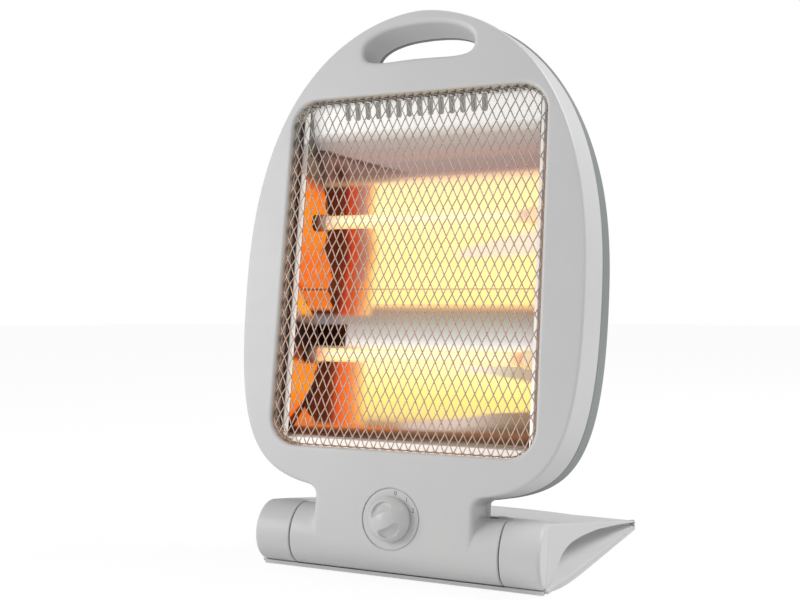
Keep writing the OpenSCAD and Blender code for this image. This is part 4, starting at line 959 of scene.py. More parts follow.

# The glow is painted over the whole sheet, panel and flange too: painted reflection and light.
mirror_finish = Finish("bright_trough", Emission_Strength=1.0, Specular_IOR_Level=0.5)
fade, blend, grain = mirror_finish.fade, mirror_finish.blend, mirror_finish.grain
sheet_x, sheet_d, sheet_t = head_axes(mirror_finish)
rolling = grain(14.0, 4.0, at=mirror_finish.stretched(0.3, 14.0, 14.0))
wander = sheet_t + (rolling - 0.5) * 5
lit = banded(mirror_finish, wander, (66, (30, 8, 5)), (71, (44, 16, 11)), (75, (130, 76, 48)),
             (80, (205, 172, 118)), (84, (240, 214, 122)), (96, (246, 224, 112)), (112, (248, 230, 136)),
             (121, (248, 236, 165)), (130, (246, 238, 190)), (136, (196, 199, 206)), (144, (146, 149, 156)),
             (150, (110, 108, 114)), (155, (104, 90, 90)), (158, (128, 84, 66)), (160, (226, 170, 104)),
             (163, (248, 232, 142)), (170, (248, 232, 150)), (203, (248, 234, 155)),
             (227, (248, 236, 165)), (241, (248, 236, 158)), (253, (244, 226, 158)),
             (256, (232, 190, 146)), (258.5, (132, 100, 98)), (262, (104, 86, 90)), (267, (96, 86, 90)),
             (270.5, (124, 88, 84)), (274, (104, 94, 98)), (281, (108, 104, 106)), (285, (142, 142, 142)),
             (289, (170, 169, 168)), (308, (166, 165, 164)))
# The end plate's red reaches further in where the sheet comes forward, and over the ridge.
shift = sheet_x + (sheet_d - TROUGH) * 0.53 - sheet_t.near(205.0, 32.0) * 4
end_red = banded(mirror_finish, shift + (grain(45.0, 2.0) - 0.5) * 3,
                 (-104, (42, 18, 14)), (-78, (64, 26, 18)), (-73, (120, 34, 18)), (-69, (200, 58, 20)),
                 (-65, (196, 76, 36)), (-60, (214, 104, 52)), (-56, (226, 124, 56)), (-52, (246, 160, 70)),
                 (-47, (250, 200, 90)), (-40, (250, 216, 104)))
lower_red = banded(mirror_finish, shift + (grain(45.0, 2.0) - 0.5) * 3,
                   (-104, (42, 18, 14)), (-79, (66, 28, 18)), (-74, (130, 50, 24)), (-70, (222, 84, 34)),
                   (-66, (240, 104, 40)), (-58, (246, 126, 48)), (-53, (248, 158, 62)),
                   (-47, (250, 200, 90)), (-40, (250, 216, 104)))
end_red = blend(fade(sheet_t, 148.0, 160.0), lower_red, end_red)
mauve = (shift + 59).near(0.0, 7.5) * fade(sheet_t, 172.0, 182.0)
end_red = blend(mauve * 0.8, end_red, seen_colour(148, 104, 98))
in_glow = fade(wander, 72.0, 78.0) * (1 - fade(wander, 252.0, 258.0))
dead_band = (fade(wander, 131.0, 133.5) * (1 - fade(wander, 147.0, 150.0))
             * (1 - fade(shift, -67.0, -64.5)))
reds = ((1 - fade(shift, -54.0, -44.0)) * in_glow
        * (1 - fade(wander, 130.0, 134.0) * (1 - fade(wander, 152.0, 157.0))))
painted = blend(reds, lit, end_red)
# Painted reflections: pale patches where the sheet mirrors the room, one wedge across the upper
# trough, one under the lower tube and one along the lower trough's foot, each opening to the right.
opening_out = (sheet_x - 12.0) | 0.0
patch_off = wander - 199.0 - opening_out * 0.15
upper_patch = ((1 - fade(patch_off * patch_off, opening_out * 0.3, opening_out * 2.4 + 0.5))
               * fade(sheet_x, 14.0, 30.0))
middle_patch = (fade(wander, 119.5 - opening_out * 0.15, 121.5 - opening_out * 0.13)
                * (1 - fade(wander, 122.0, 126.0)) * fade(sheet_x, 14.0, 34.0))
foot_top = 79.0 + (sheet_x | 0.0) * 0.15
foot_patch = (1 - fade(wander - foot_top, -1.0, 2.0)) * fade(sheet_x, -16.0, 4.0)
painted = blend(upper_patch * in_glow * 0.85, painted, seen_colour(228, 212, 205))
painted = blend(middle_patch * 0.9, painted, blend(
    fade(sheet_x, 35.0, 70.0), seen_colour(226, 212, 200), seen_colour(134, 122, 118)))
foot_tone = blend(fade(sheet_x, 30.0, 76.0), seen_colour(196, 182, 176), seen_colour(92, 80, 76))
painted = blend(foot_patch * in_glow, painted, blend(
    fade(wander - foot_top, -14.0, -5.0), seen_colour(40, 20, 16), foot_tone))
# A painted reflection: the end plate's glow shows once more in the sheet beside it, above the
# ridge and at the foot.
plate_reach = (sheet_t.near(170.0, 45.0) * 22 + sheet_t.near(74.0, 15.0) * 15 - 88
               + (grain(160.0, 3.0) - 0.5) * 5)
plate_image = ((1 - fade(sheet_x - plate_reach, -0.8, 0.8)) * in_glow
               * (fade(sheet_t, 156.5, 159.5) | (1 - fade(sheet_t, 92.0, 100.0))))
painted = blend(plate_image, painted, blend(
    grain(60.0, 3.0), seen_colour(222, 86, 26), seen_colour(252, 140, 44)))
# Painted shade: a dark line in the ridge's crease, blackest at the left, and a band above the lower tube
# painted near black.
painted = blend(sheet_t.near(RIDGE_T, 1.3) * (1 - fade(sheet_x, -72.0, -62.0)), painted,
                seen_colour(26, 8, 5))
painted = blend(dead_band, painted, (0.004, 0.001, 0.001))
painted = blend(sheet_t.near(RIDGE_T, 0.9) * 0.75, painted, seen_colour(120, 84, 66))
# The flange and the slots' floors are painted too: a white highlight on the flange beside the troughs, dimmer
# at the right, painted shade further out at both sides, and flat grey in the slots.
from_middle = abs(sheet_x)
on_flange = fade(from_middle, 86.9, 87.3) | (1 - fade(sheet_t, 64.6, 65.4))
in_shade = fade(from_middle, 90.2, 92.0) * fade(sheet_t, 62.0, 70.0)
in_grey = fade(sheet_x, 88.6, 89.6) * fade(sheet_t, 62.0, 70.0)
in_slot = (fade(sheet_d - panel_depth(sheet_t), 0.05, 0.3)
           * fade(sheet_t, COMB_LOW - 0.6, COMB_LOW + 0.2))
painted = blend(on_flange, painted, blend(
    in_shade, blend(in_grey, seen_colour(186, 184, 180), seen_colour(84, 80, 78)),
    blend(in_grey, seen_colour(20, 10, 8), seen_colour(60, 56, 55))))
painted = blend(in_slot, painted, seen_colour(116, 116, 111))
# The base colour under it is painted in bands too: pale on the flange and panel, dark just inside the foot
# and under the painted dark band.
metal = banded(mirror_finish, wander, (60, (214, 211, 206)), (66, (214, 211, 206)), (68, (58, 30, 26)),
               (74, (96, 74, 66)), (90, (150, 138, 120)), (132, (152, 154, 162)), (150, (150, 156, 168)),
               (165, (150, 138, 120)), (250, (150, 138, 120)), (260, (146, 130, 128)), (270, (168, 156, 154)),
               (281, (192, 184, 178)), (286, (232, 231, 227)), (308, (238, 238, 236)))
metal = blend(dead_band, metal, seen_colour(34, 14, 12))
# Upper left: a painted reflection, the end plate's dark image, bounded by a line that runs
# down to the right. A dark spot near the left end above the upper tube and a dark line along
# the image's edge are painted in as well.
image_line = wander - 269.0 + (sheet_x + 50) * 0.25
end_image = ((1 - fade(image_line, -1.0, 0.6)) * (1 - fade(sheet_x, -52.0, -6.0))
             * fade(wander, 253.0, 257.0))
dark_spot_and_edge = (sheet_x.near(-73.0, 9.0) * wander.near(262.0, 10.0)
          | image_line.near(-1.5, 3.0) * 0.6 * end_image)
metal = blend(end_image * 0.6, metal, seen_colour(112, 82, 74))
metal = blend(dark_spot_and_edge, metal, seen_colour(60, 26, 20))
painted = blend(end_image * 0.7, painted, seen_colour(58, 36, 30))
painted = blend(dark_spot_and_edge * 0.9 * (1 - in_glow), painted, seen_colour(14, 5, 4))
# A painted orange glow along the lower trough's foot, at the left.
painted = blend(wander.near(74.5, 2.6) * (1 - fade(sheet_x, -40.0, 6.0)) * 0.9
                * (1 - on_flange), painted, seen_colour(238, 118, 44))
# The base colour is painted darker under the painted red, and on the flange it takes the same painted
# highlight and shade.
metal = blend(reds * (1 - fade(shift, -64.0, -52.0)), metal, seen_colour(60, 36, 32))
metal = blend(on_flange, metal, blend(
    in_shade, blend(in_grey, seen_colour(230, 228, 225), seen_colour(140, 134, 130)),
    seen_colour(104, 84, 80)))
metal = blend(in_slot, metal, seen_colour(118, 116, 112))
polished = in_glow * 0.35 + 0.25
mirror_finish.feed(Base_Color=metal, Emission_Color=painted, Metallic=polished,
                   Roughness=rolling * 0.2 + 0.24, Normal=mirror_finish.bump(rolling, 0.25, 0.0004))
reflector = build("reflector_sheet",
                  [sheet(troughs), panel_sheet, flange_sheet] + slot_pockets + side_returns,
                  mirror_finish.material, facing=(0, -1, 0))
dull_back = Finish("dull_sheet_back", Metallic=0.9)
rolled_marks = dull_back.grain(40.0, 4.0, at=dull_back.stretched(0.1, 1.0, 1.0))
dull_back.feed(Base_Color=dull_back.blend(rolled_marks, seen_colour(120, 116, 112),
                                          seen_colour(168, 165, 162)),
               Roughness=rolled_marks * 0.2 + 0.4)
walled(reflector, TROUGH_SHEET, dull_back.material)
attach(reflector, "head")
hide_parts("reflector")

# ---- End plates ------------------------------------------------------------------------------
# Pressed bright sheets that close the troughs left and right, screwed under the reflector's
# ears. Each holds the tubes' caps in two holes, and narrow tabs of the trough hook into it.
# Near the tubes an orange glow is painted on them; above them they are dull grey-brown.
CAP_HOLE, PLATE_BACK, PLATE_FRONT = 6.35, 57.0, 14.0
PLATE_LOW, PLATE_HIGH, PLATE_BEND = 74.9, 276.0, 242.0


def tab_slot(low, high, thick, in_front):
    """A crooked slot just in front of the trough's edge, widest in its middle."""
    t = np.linspace(low, high, 9)
    d = trough_depth(t) - in_front
    swell = thick * np.sin(np.linspace(0.25, np.pi - 0.25, 9))
    return np.concatenate([np.stack([d + swell / 2, t], -1),
                           np.stack([d - swell / 2, t], -1)[::-1]])


plate_corners = np.array([[PLATE_FRONT, PLATE_LOW], [PLATE_BACK, PLATE_LOW],
                          [PLATE_BACK, PLATE_BEND], [29.0, PLATE_HIGH],
                          [PLATE_FRONT, PLATE_HIGH]])
way = np.linspace(0, 1, 25)[:-1, None]
plate_edge = np.concatenate([a * (1 - way) + b * way
                             for a, b in zip(plate_corners, np.roll(plate_corners, -1, 0))])
plate_holes = [circle_path(TUBE_D, t, CAP_HOLE, 40) for t in (LOWER_TUBE, UPPER_TUBE)]
plate_holes += [tab_slot(*slot) for slot in (
    (96, 103, 2.2, 3.2), (110, 115, 1.6, 2.6), (160, 166, 1.6, 2.2), (182, 187, 1.8, 2.4),
    (200, 207, 2.2, 2.8), (236, 243, 2.2, 3.0), (254, 259, 2.4, 3.0))]
plate_fill = spread_points((16, 77), (57, 275), (4, 4), plate_edge, plate_holes, 1.3)
plate_patches = {side: [filled(plate_edge, plate_holes, plate_fill,
                               lambda d, t, side=side: leaned(side * TROUGH_HALF, d, t))]
                 for side in (-1, 1)}
for side, plate_name in ((-1, "left"), (1, "right")):
    for x0, x1, d, low, high in (
            (TROUGH_HALF, EAR_X + EAR_R, PLATE_FRONT, PLATE_LOW, PLATE_HIGH),
            (TROUGH_HALF - 12, TROUGH_HALF, PLATE_BACK, 80.9, 240.9)):
        strip_x, strip_t = np.meshgrid(np.linspace(x0, x1, 5), np.linspace(low, high, 25),
                                       indexing="ij")
        plate_patches[side].append(sheet(leaned(side * strip_x, d, strip_t)))
    plate_finish = Finish("end_plate_" + plate_name, Emission_Strength=1.0, Metallic=0.35)
    plate_x, plate_d, plate_t = head_axes(plate_finish)
    mottle = plate_finish.grain(70.0, 4.0)
    # Painted glow: the tubes' orange light on the plate, banded by height, black where the troughs hide it.
    hot = banded(plate_finish, plate_t + (mottle - 0.5) * 5,
                 (67, (120, 40, 14)), (75, (226, 80, 20)), (84, (246, 112, 20)), (100, (254, 148, 24)),
                 (117, (250, 136, 26)), (121, (120, 52, 22)), (131, (24, 8, 5)), (145, (12, 5, 4)),
                 (148, (52, 42, 38)), (152, (90, 62, 46)), (155, (250, 158, 28)), (167, (252, 150, 22)),
                 (171, (176, 74, 16)), (176, (238, 108, 24)), (192, (244, 106, 20)), (210, (252, 132, 20)),
                 (226, (254, 140, 18)), (246, (250, 118, 16)), (251, (180, 76, 30)), (255, (44, 34, 30)),
                 (262, (66, 56, 53)), (270, (74, 66, 63)), (275, (58, 50, 48)), (279, (126, 124, 122)),
                 (300, (150, 149, 147)))
    # The line where the troughs meet the plate. What lies behind it doesn't glow.
    seam_d = (bow(plate_t, LOWER_TUBE, RIDGE_T, RIDGE_D)
              | bow(plate_t, UPPER_TUBE, UPPER_TUBE + 58.0, FLANGE_D))
    join_line = (seam_d - plate_d).near(0.6, 1.3)
    behind = plate_finish.fade(plate_d - seam_d, -0.2, 0.4)
    inner = 1 - plate_finish.fade(plate_x if side > 0 else plate_x * -1, 87.2, 87.4)
    hot = plate_finish.blend(join_line * 0.8, hot, seen_colour(60, 20, 10))
    redder = plate_finish.fade(mottle, 0.62, 0.75) * 0.35
    hot = plate_finish.blend(redder, hot, seen_colour(220, 70, 20))
    hot = plate_finish.blend(1 - inner * (1 - behind), hot, (0.0, 0.0, 0.0))
    # The base colour, painted dark between the tubes and pale in narrow bands, dull brown-grey elsewhere.
    painted_base_bands = banded(plate_finish, plate_t, (66, (120, 60, 44)), (120, (120, 70, 52)), (134, (34, 14, 12)),
                  (146, (30, 12, 10)), (149, (176, 166, 160)), (153, (160, 130, 110)), (170, (120, 74, 54)),
                  (248, (120, 74, 54)), (254, (150, 138, 128)), (274, (162, 152, 144)),
                  (279, (226, 225, 222)))
    plate_finish.feed(Base_Color=painted_base_bands, Emission_Color=hot,
                      Roughness=mottle * 0.25 + 0.32, Normal=plate_finish.bump(mottle, 0.2, 0.0003))
    plate = build("end_plate_" + plate_name + "_sheet", plate_patches[side],
                  plate_finish.material, facing=(-side, 0, 0))
    walled(plate, PLATE_SHEET, dull_back.material)
    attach(plate, "head")
    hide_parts("end_plate_" + plate_name)

# ---- Quartz tubes ----------------------------------------------------------------------------
# Two fused-quartz tubes with fire-polished ends, each with a tightly wound resistance wire at
# full heat inside. The glass glows pale yellow along its length. Near the caps the lower tube
# turns orange and the upper one mauve.
TUBE_R, TUBE_BORE, TUBE_HALF = 5.0, 3.9, 86.0
COIL_R, COIL_WIRE, COIL_HALF, COIL_TURNS = 3.0, 0.42, 82.0, 64
end_turn = np.linspace(0, np.pi, 9)
lip_r, lip_mid = (TUBE_R - TUBE_BORE) / 2, (TUBE_R + TUBE_BORE) / 2
right_lip = np.stack([TUBE_HALF - lip_r + lip_r * np.sin(end_turn),
                      lip_mid + lip_r * np.cos(end_turn)], -1)
body_x = np.linspace(-TUBE_HALF + lip_r, TUBE_HALF - lip_r, 49)[1:-1]
tube_profile = np.concatenate([
    np.stack([body_x, np.full(47, TUBE_R)], -1), right_lip,
    np.stack([body_x[::-1], np.full(47, TUBE_BORE)], -1), right_lip[::-1] * (-1, 1)])
coil_run = np.linspace(0, 1, COIL_TURNS * 12 + 1)
coil_swell = COIL_R * smooth_step(np.minimum(coil_run, 1 - coil_run) * COIL_TURNS * 1.6)
coil_angle = coil_run * COIL_TURNS * 2 * np.pi
for tube_name, tube_t, tip in (("lower", LOWER_TUBE, (226, 96, 44)),
                               ("upper", UPPER_TUBE, (186, 150, 148))):
    spin = np.linspace(0, 2 * np.pi, 37)[:-1, None]
    glass_rows = leaned(tube_profile[:, 0], TUBE_D - tube_profile[:, 1] * np.cos(spin),
                        tube_t + tube_profile[:, 1] * np.sin(spin))
    glass_finish = Finish("hot_quartz_" + tube_name, Roughness=0.18, Emission_Strength=1.0,
                          Specular_IOR_Level=0.5, Coat_Weight=0.3, Coat_Roughness=0.08)
    glass_x, _, glass_t = head_axes(glass_finish)
    cloudy = glass_finish.grain(120.0, 3.0, at=glass_finish.stretched(0.5, 1.0, 1.0))
    along_glass = banded(glass_finish, abs(glass_x), (0, (250, 246, 196)), (30, (250, 244, 190)),
                         (62, (250, 240, 184)), (68, (240, 214, 170)), (76, tip),
                         (82, (120, 60, 44)), (87, (70, 34, 28)))
    mid_height = (glass_t - tube_t).near(0.3, 7.5)
    glowing = glass_finish.blend(mid_height, seen_colour(236, 206, 128), along_glass)
    glass_finish.feed(Base_Color=glass_finish.blend(cloudy, seen_colour(150, 140, 120),
                                                    seen_colour(180, 170, 150)),
                      Emission_Color=glowing, Alpha=cloudy * 0.2 + 0.62)
    glass = build("quartz_tube_" + tube_name + "_glass",
                  [sheet(glass_rows, round_u=True, round_v=True)], glass_finish.material)
    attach(glass, "head")
    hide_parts("quartz_tube_" + tube_name)

    coil_path = np.stack([COIL_HALF * (2 * coil_run - 1), TUBE_D + coil_swell * np.cos(coil_angle),
                          tube_t + coil_swell * np.sin(coil_angle)], -1)
    coil_way = np.stack([0 * coil_run, np.cos(coil_angle), np.sin(coil_angle)], -1)
    wire_finish = Finish("white_hot_wire_" + tube_name, Emission_Strength=1.0, Roughness=0.5,
                         Metallic=0.6)
    along_wire = wire_finish.grain(260.0, 2.0)
    wire_finish.feed(Base_Color=wire_finish.blend(along_wire, seen_colour(90, 70, 50),
                                                  seen_colour(140, 110, 80)),
                     Emission_Color=wire_finish.blend(along_wire, seen_colour(255, 226, 150),
                                                      seen_colour(255, 250, 220)))
    winding = leaned(*np.moveaxis(bar(coil_path, coil_way, COIL_WIRE), -1, 0))
    coil = build("heating_coil_" + tube_name + "_wire", [sheet(winding, round_v=True)],
                 wire_finish.material, sharp=180)
    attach(coil, "head")
    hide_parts("heating_coil_" + tube_name)

# ---- Dial and knob ---------------------------------------------------------------------------
# A round plate with the printed numbers 0, 1 and 2 sits in the front of the barrel, with a
# narrow groove round it. The domed knob on it has a thumb hollow on each side of a straight
# grip; it is moulded in the shell's plastic and pressed onto the rotary switch's shaft.
DIAL_R, DIAL_D, NUMBERS_R, NUMBERS_TALL = 19.5, 0.3, 16.9, 3.9
KNOB_R, KNOB_H, KNOB_RIM, KNOB_EDGE, GRIP_AT, GRIP_W = 14.3, 12.5, 3.6, 0.7, 62.0, 6.0
HOLLOW_R, HOLLOW_REACH, HOLLOW_TURN, HOLLOW_DEEP = 8.4, 3.5, math.radians(56), 3.5
plate_turn = np.linspace(0, 2 * np.pi, 73)[:-1, None]
dial_profile = np.array([[5.2, 1.4], [5.2, DIAL_D], [9.0, DIAL_D], [14.0, DIAL_D],
                         [18.2, DIAL_D], [18.9, DIAL_D + 0.03], [19.3, DIAL_D + 0.18],
                         [DIAL_R, DIAL_D + 0.5], [DIAL_R, 1.4]])
dial_rows = leaned(dial_profile[:, 0] * np.cos(plate_turn), dial_profile[:, 1],
                   DIAL_AT + dial_profile[:, 0] * np.sin(plate_turn))
dial_finish = Finish("dial_plastic", Specular_IOR_Level=0.42, Coat_Weight=0.1, Coat_Roughness=0.3)
moulded(dial_finish, (214, 214, 214), 0.4)
dial = build("dial_disc", [sheet(dial_rows, round_u=True, round_v=True)], dial_finish.material)
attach(dial, "head")
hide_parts("dial_plate")

print_finish = Finish("dial_print", Specular_IOR_Level=0.3)
worn = print_finish.grain(900.0, 3.0)
print_finish.feed(Base_Color=print_finish.blend(worn, seen_colour(96, 93, 95),
                                                seen_colour(122, 119, 121)),
                  Roughness=worn * 0.2 + 0.5)
for number, clock in (("0", 9.0), ("1", 39.0), ("2", 67.0)):
    letter = bpy.data.curves.new("dial_number_" + number, "FONT")
    letter.body = number
    letter.size = NUMBERS_TALL
    letter.align_x = "CENTER"
    letter.align_y = "CENTER"
    letter.extrude = 0.03
    written = bpy.data.objects.new("dial_draft_" + number, letter)
    bpy.context.scene.collection.objects.link(written)
    bpy.context.view_layer.update()
    number_mesh = bpy.data.meshes.new_from_object(
        written.evaluated_get(bpy.context.evaluated_depsgraph_get()))
    bpy.data.objects.remove(written)
    spots = np.empty(len(number_mesh.vertices) * 3)
    number_mesh.vertices.foreach_get("co", spots)
    spots = spots.reshape(-1, 3)
    a = math.radians(90 - clock)
    number_mesh.vertices.foreach_set("co", leaned(
        spots[:, 0] + NUMBERS_R * math.cos(a), DIAL_D - 0.02 - spots[:, 2],
        DIAL_AT + spots[:, 1] + NUMBERS_R * math.sin(a)).ravel())
    number_mesh.name = "dial_number_" + number
    number_mesh.materials.clear()
    number_mesh.materials.append(print_finish.material)
    printed = bpy.data.objects.new("dial_number_" + number, number_mesh)
    bpy.context.scene.collection.objects.link(printed)
    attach(printed, "head")

# The knob's top: a dome, sunk where two hollows follow its rim on either side of the grip. A
# hollow's floor is level and its wall steep: its depth falls with the fourth power of the way
# to its edge, which is an oval in radius and angle cut straight along the grip.
dome_rise = KNOB_H - KNOB_RIM
dome_radius = (KNOB_R ** 2 + dome_rise ** 2) / (2 * dome_rise)
knob_rho = np.concatenate([np.linspace(0, 1, 73) * (KNOB_R - KNOB_EDGE),
                           KNOB_R - KNOB_EDGE + KNOB_EDGE * np.sin(bend_turn[1:])])
knob_turn = np.linspace(0, 2 * np.pi, 193)[:-1, None]
grip_u = knob_rho * np.cos(knob_turn)
grip_v = knob_rho * np.sin(knob_turn)
knob_top = KNOB_H - dome_radius + np.sqrt(dome_radius ** 2 - grip_u ** 2 - grip_v ** 2)
knob_top -= np.concatenate([np.zeros(73), KNOB_EDGE * (1 - np.cos(bend_turn[1:]))])
side_turn = np.arctan2(grip_v, np.abs(grip_u))
hollow = np.sqrt(((knob_rho - HOLLOW_R) / HOLLOW_REACH) ** 2 + (side_turn / HOLLOW_TURN) ** 2)
hollow = np.maximum(hollow, 1 - (np.abs(grip_u) - GRIP_W / 2) / 4.0)
knob_top -= HOLLOW_DEEP * np.clip(1 - np.clip(hollow, 0, 1) ** 4, 0, 1) ** 0.9
lean_u = math.radians(-GRIP_AT)
wall_rho = np.array([KNOB_R, KNOB_R, KNOB_R - 0.3, 9.0, 0.0])
wall_top = np.array([1.6, 0.7, 0.4, 0.4, 0.4])
all_u = np.concatenate([grip_u, wall_rho * np.cos(knob_turn)], 1)
all_v = np.concatenate([grip_v, wall_rho * np.sin(knob_turn)], 1)
all_top = np.concatenate([knob_top, np.broadcast_to(wall_top, (192, 5))], 1)
knob_rows = leaned(all_u * math.cos(lean_u) - all_v * math.sin(lean_u), -all_top,
                   DIAL_AT + all_u * math.sin(lean_u) + all_v * math.cos(lean_u))
knob_finish = Finish("knob_plastic", Specular_IOR_Level=0.45, Coat_Weight=0.15, Coat_Roughness=0.2)
moulded(knob_finish, (210, 210, 210), 0.32)
knob = build("knob_moulding", [sheet(knob_rows, round_u=True)], knob_finish.material, sharp=60)
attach(knob, "control")
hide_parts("knob")

# ---- Stand -----------------------------------------------------------------------------------
# The foot, moulded in the shell's plastic: a round drum at each end of the barrel, a deck that
# slopes back between flared sides with a hollow under each edge, and a slot where the neck
# leans. The rear edge bulges. Four screws from below hold it on the floor plate.
AXIS_Z, DRUM_IN, DRUM_OUT, FLOOR = 23.2, 73.9, 100.0, 3.5
SLOPE = math.radians(11.0)
CORNER_Y, BULGE, FLARE, SKIRT = 186.0, 21.0, 0.141, 6.0
SLOT_HALF, SLOT_BACK, SLOT_STEP = 65.0, 30.6, 8.8
SLOT_END = DRUM_IN + 0.1
INNER_EDGE, OUTER_EDGE, REAR_EDGE = 0.7, 2.5, 0.9
DRUM_TURN_UNDER, DRUM_FOOT = math.radians(-73), 6.03
# How far the ledge over the hollow lies under the deck, at places behind the hinge.
LEDGE_AT = [0, 8, 15, 19, 22, 26, 33, 44, 64, 97, 143, 186]
LEDGE_DROP = [42, 39.5, 33.5, 28, 24, 20.5, 16.6, 12.8, 9.0, 5.0, 2.5, 1.1]


def standing(x, y, z):
    """Stand places in metres, from millimetres across, behind the hinge and above the table."""
    x, y, z = np.broadcast_arrays(x, y, z)
    return np.stack([x / 1000, hinge_y + y / 1000, z / 1000], -1)


def deck_z(y):
    """The deck's height: the plane that touches the drums' tops, level near the rear edge."""
    return np.maximum(AXIS_Z + BARREL / math.cos(SLOPE) - math.tan(SLOPE) * y, 5.5)


top_y = BARREL * math.sin(SLOPE)


def deck_x(y):
    """The deck's side: straight back from the drum, then flaring out to the rear corner."""
    return DRUM_OUT + FLARE * np.clip(y - top_y, 0, None) * CORNER_Y / (CORNER_Y - top_y)


deck_y = top_y + (CORNER_Y - top_y) * np.linspace(0, 1, 57) ** 1.35
deck_round = 0.9 + 1.6 * np.exp(-(deck_y - top_y) / 14)

# Drums: round the axis from under the front to the deck, with a soft outer edge and flat ends.
drum_turn = np.linspace(DRUM_TURN_UNDER, math.pi / 2 + SLOPE, 57)[:, None]
drum_x = np.concatenate([[SLOT_END, DRUM_IN], DRUM_IN + INNER_EDGE * (1 - np.sin(bend_turn[::-1])),
                         np.linspace(DRUM_IN + INNER_EDGE, DRUM_OUT - OUTER_EDGE, 9)[1:-1],
                         DRUM_OUT - OUTER_EDGE + OUTER_EDGE * np.sin(bend_turn), [DRUM_OUT] * 6])
drum_rho = np.concatenate([[16.0, 18.4], BARREL - INNER_EDGE * (1 - np.cos(bend_turn[::-1])),
                           np.full(7, BARREL), BARREL - OUTER_EDGE * (1 - np.cos(bend_turn)),
                           [15.0, 12.0, 9.0, 6.0, 3.0, 0.0]])
drum = standing(drum_x, -drum_rho * np.cos(drum_turn), AXIS_Z + drum_rho * np.sin(drum_turn))

# Sides: from the deck's rounded edge down a band, in under its ledge and out to the foot line.
run_y, share_v = deck_y[:, None], np.linspace(0, 1, 9)[None, 1:]
edge_r = deck_round[:, None]
band = np.interp(run_y, LEDGE_AT, LEDGE_DROP)
shelf = np.maximum(deck_z(run_y) - band, FLOOR + 0.4)
skirt_x = deck_x(run_y) + SKIRT * (1 - run_y / CORNER_Y) * (1 - np.exp(-run_y / 12))
round_in = edge_r * (1 - np.sin(bend_turn))
settle = np.exp(-((run_y - top_y) / 7) ** 1.5)
round_down = edge_r * (1 - np.cos(bend_turn)) * (1 - settle * (1 - math.cos(SLOPE)))
band_top = deck_z(run_y) - edge_r
band_z = band_top * (1 - share_v) + np.minimum(shelf, band_top - 0.1) * share_v
cove_u = np.linspace(0, 1, 25)[None, 1:] ** 1.3
deep = np.minimum(20.0, 1.15 * (shelf - FLOOR - 0.4))
cove_x = (deck_x(run_y) + (skirt_x - deck_x(run_y)) * cove_u
          - deep * (1 - cove_u ** 2.4) * (1 - np.exp(-(cove_u / 0.05) ** 1.5)))
side_z = np.concatenate([deck_z(run_y) - round_down, band_z,
                         band_z[:, -1:] + (FLOOR - band_z[:, -1:]) * cove_u], 1)
bent = np.where(side_z > AXIS_Z, top_y * (side_z - AXIS_Z) / (BARREL * math.cos(SLOPE)),
                -DRUM_FOOT * (AXIS_Z - side_z) / (AXIS_Z - FLOOR))
side_y = run_y + (bent - top_y) * settle
side_x = np.concatenate([deck_x(run_y) - round_in, deck_x(side_y[:, 7:15]),
                         deck_x(side_y[:, 15:]) + cove_x - deck_x(run_y)], 1)
stand_side = standing(side_x, side_y, side_z)

# Rear edge, from one corner over the bulge to the other, and the walls of the neck's slot.
rear_turn = np.linspace(0, np.pi, 61)[:, None]
rear_x = deck_x(CORNER_Y) * np.cos(rear_turn)
rear_y = CORNER_Y + BULGE * (1 - (rear_x / deck_x(CORNER_Y)) ** 2)
lip = REAR_EDGE * (1 - np.sin(bend_turn))
shrink = 1 - lip / 120
rear_path_x = np.concatenate([rear_x * shrink, np.repeat(rear_x, 4, 1)], 1)
rear_path_y = np.concatenate([rear_y - lip, np.repeat(rear_y, 4, 1)], 1)
rear_top = deck_z(rear_y)
rear_fall = FLOOR - rear_top + REAR_EDGE
rear_path_z = np.concatenate([rear_top - REAR_EDGE * (1 - np.cos(bend_turn)),
                              rear_top - REAR_EDGE + rear_fall * np.linspace(0.25, 1, 4)], 1)
stand_rear = standing(rear_path_x, rear_path_y, rear_path_z)

slot_corners = [(SLOT_END, top_y), (SLOT_END, SLOT_STEP), (SLOT_HALF, SLOT_STEP),
                (SLOT_HALF, SLOT_BACK), (-SLOT_HALF, SLOT_BACK), (-SLOT_HALF, SLOT_STEP),
                (-SLOT_END, SLOT_STEP), (-SLOT_END, top_y)]
slot_path = []
for (xa, ya), (xb, yb) in zip(slot_corners[:-1], slot_corners[1:]):
    count = max(2, int(abs(xa - xb) / 6) + int(abs(ya - yb) / 2) + 1)
    slot_path.append(np.stack([np.linspace(xa, xb, count + 1)[:-1],
                               np.linspace(ya, yb, count + 1)[:-1]], -1))
slot_path = np.concatenate(slot_path + [np.array([slot_corners[-1]])])
slot_drop = np.array([0, 0.4, 3.0, 10.0, 20.0])
slot_x, slot_y = slot_path[:, :1], slot_path[:, 1:]
slot_z = np.maximum(deck_z(slot_y) - slot_drop, FLOOR)
# The wall is hollowed round the barrel, so that the head clears it when it leans.
clear_y = np.sqrt(np.clip((BARREL + 0.6) ** 2 - (slot_z - AXIS_Z) ** 2, 0, None))
slot_back = np.where(slot_y > SLOT_STEP - 0.01, np.maximum(slot_y, clear_y), slot_y)
slot_wall = standing(slot_x, slot_back, slot_z)

